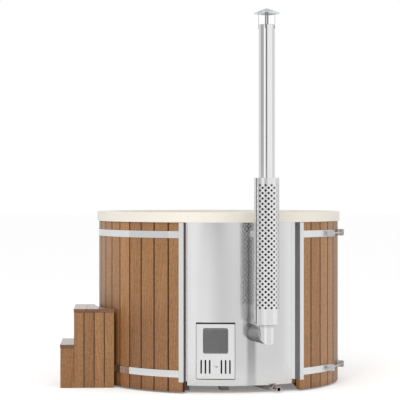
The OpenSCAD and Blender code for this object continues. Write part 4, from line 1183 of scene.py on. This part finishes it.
class HOTTUB_OT_stage(HotTubOperator):
    """Pale floor, soft studio light and the camera"""

    bl_idname = "hottub.stage"
    bl_label = "Stage"

    def camera(self):
        bpy.ops.object.select_all(action="DESELECT")
        bpy.ops.object.camera_add(
            location=(-0.6732, -10.2946, 1.2670), rotation=(math.radians(90), 0, math.radians(-2.1)))
        camera = bpy.context.active_object
        camera.data.lens = 135.7
        camera.data.sensor_width = 36
        camera.data.shift_x = 0.0625
        camera.data.shift_y = -0.0162
        camera.data.clip_end = 200
        bpy.context.scene.camera = camera

    def lamp(self, name, place_at, aim, size, power):
        bpy.ops.object.select_all(action="DESELECT")
        bpy.ops.object.light_add(type="AREA", location=place_at)
        lamp = bpy.context.active_object
        lamp.name = name
        lamp.data.shape = "RECTANGLE"
        lamp.data.size, lamp.data.size_y = size
        lamp.data.energy = power
        lamp.visible_glossy = False
        lamp.rotation_euler = (Vector(aim) - Vector(place_at)).to_track_quat("-Z", "Y").to_euler()

    def panorama(self, tree, turn, stops):
        """Brightness by compass direction, from stops of (degrees from the camera side, brightness)."""
        ramp = add(tree, "ValToRGB", {0: turn})
        elements = ramp.color_ramp.elements
        for i, (degrees, level) in enumerate(stops):
            at = degrees / 360 + 0.5
            element = elements[i] if i < 2 else elements.new(at)
            element.position, element.color = at, (level / 2, level / 2, level / 2, 1)
        return Field(ramp.outputs[0]) * 2.0

    def either(self, tree, factor, a, b):
        """The number a where the factor is 0, and b where it is 1."""
        return add(tree, "Mix", {0: factor, 2: a, 3: b}, data_type="FLOAT").outputs[0]

    def world(self):
        """A white studio: plain white to the eye, even to the wood, with soft panels in reflections."""
        world = bpy.data.worlds.new("Pale studio")
        bpy.context.scene.world = world
        world.use_nodes = True
        tree = world.node_tree
        tree.nodes.clear()
        ray = add(tree, "LightPath").outputs
        x, y, z = parted(tree, add(tree, "TexCoord").outputs["Generated"])
        turn = x.maths("ARCTAN2", y * -1.0) / (2 * math.pi) + 0.5
        above = self.panorama(tree, turn, (
            (-180, 0.80), (180, 0.80), (-104, 0.86), (-98, 0.47), (-50, 0.49), (-44, 1.16), (-22, 1.16),
            (-17, 0.18), (-2, 0.18), (5, 1.02), (80, 1.04), (88, 0.72), (112, 0.80)))
        below = self.panorama(tree, turn, (
            (-180, 0.82), (180, 0.82), (-150, 0.82), (-136, 0.86), (-108, 0.92), (-100, 0.88), (-92, 0.78),
            (-74, 0.77), (-56, 0.79), (-42, 0.80), (-37, 1.02), (-28, 1.12), (-22, 1.05), (-14, 1.08),
            (-10, 1.0), (-2, 0.86), (4, 0.83), (12, 0.87), (56, 0.87), (63, 0.90), (68, 1.0), (76, 1.10),
            (82, 0.97), (92, 0.97), (104, 0.92), (120, 0.86), (128, 0.74), (150, 0.76)))
        panels = self.either(tree, z.spread(-0.006, 0.004), below, above)
        plain_white = Field(ray["Is Camera Ray"]).maths("MAXIMUM", ray["Is Transmission Ray"])
        level = self.either(tree, ray["Is Glossy Ray"], 0.80, panels)
        sky = add(tree, "Background", {
            "Color": (1, 1, 1, 1), "Strength": self.either(tree, plain_white, level, 1.0)})
        add(tree, "OutputWorld", {"Surface": sky.outputs[0]})

    def floor(self):
        """A pale floor that takes shadows near the tub and lets far reflections see the studio."""
        bpy.ops.object.select_all(action="DESELECT")
        bpy.ops.mesh.primitive_plane_add(size=120, location=(0, 20, 0))
        floor = bpy.context.active_object
        floor.name = "studio_floor"
        material, tree, shader = new_material("Studio floor")
        shader.inputs["Base Color"].default_value = (0.98, 0.98, 0.98, 1)
        shader.inputs["Roughness"].default_value = 0.9
        shader.inputs["Specular IOR Level"].default_value = 0.0
        glow = add(tree, "Emission", {"Color": (1, 1, 1, 1), "Strength": 0.20})
        ray = add(tree, "LightPath").outputs
        lit = add(tree, "AddShader", {0: shader.outputs[0], 1: glow.outputs[0]})
        seen = add(tree, "MixShader", {0: ray["Is Camera Ray"], 1: shader.outputs[0], 2: lit.outputs[0]})
        far = Field(ray["Ray Length"]).spread(0.5, 1.6) * ray["Is Glossy Ray"]
        clear = add(tree, "BsdfTransparent")
        both = add(tree, "MixShader", {0: far, 1: seen.outputs[0], 2: clear.outputs[0]})
        feed(tree.nodes["Material Output"].inputs["Surface"], both.outputs[0])
        floor.data.materials.append(material)

    def execute(self, context):
        bpy.context.scene.view_settings.view_transform = "Standard"
        self.camera()
        self.world()
        self.floor()
        self.lamp("Key", (-2.4, -5.4, 4.6), aim=(0, -0.4, 0.7), size=(3.0, 3.0), power=140)
        self.lamp("Fill", (4.5, -4.5, 3.5), aim=(0, 0, 0.8), size=(2.5, 3.5), power=50)
        return {"FINISHED"}


OPERATORS = (
    HOTTUB_OT_stage, HOTTUB_OT_timber, HOTTUB_OT_liner, HOTTUB_OT_cladding, HOTTUB_OT_bands,
    HOTTUB_OT_locks, HOTTUB_OT_angles, HOTTUB_OT_panel, HOTTUB_OT_stove, HOTTUB_OT_door,
    HOTTUB_OT_flue, HOTTUB_OT_guard, HOTTUB_OT_drain, HOTTUB_OT_steps,
)


class HOTTUB_PT_panel(bpy.types.Panel):
    """Lists the hot tub's pieces in the order in which they are made"""

    bl_idname = "HOTTUB_PT_panel"
    bl_label = "Hot Tub"
    bl_space_type = "VIEW_3D"
    bl_region_type = "UI"
    bl_category = "Hot Tub"

    def draw(self, context):
        for operator in OPERATORS:
            self.layout.operator(operator.bl_idname)
        for group in (context.scene.hot_tub_sizes, context.scene.hot_tub_colours):
            for key in group.__annotations__:
                self.layout.prop(group, key)


CLASSES = (HotTubSizes, HotTubColours, *OPERATORS, HOTTUB_PT_panel)


def register():
    for cls in CLASSES:
        bpy.utils.register_class(cls)
    bpy.types.Scene.hot_tub_sizes = bpy.props.PointerProperty(type=HotTubSizes)
    bpy.types.Scene.hot_tub_colours = bpy.props.PointerProperty(type=HotTubColours)


def unregister():
    del bpy.types.Scene.hot_tub_colours
    del bpy.types.Scene.hot_tub_sizes
    for cls in reversed(CLASSES):
        bpy.utils.unregister_class(cls)


def main():
    register()
    for operator in OPERATORS:
        group, name = operator.bl_idname.split(".")
        getattr(getattr(bpy.ops, group), name)()


if __name__ == "__main__":
    main()
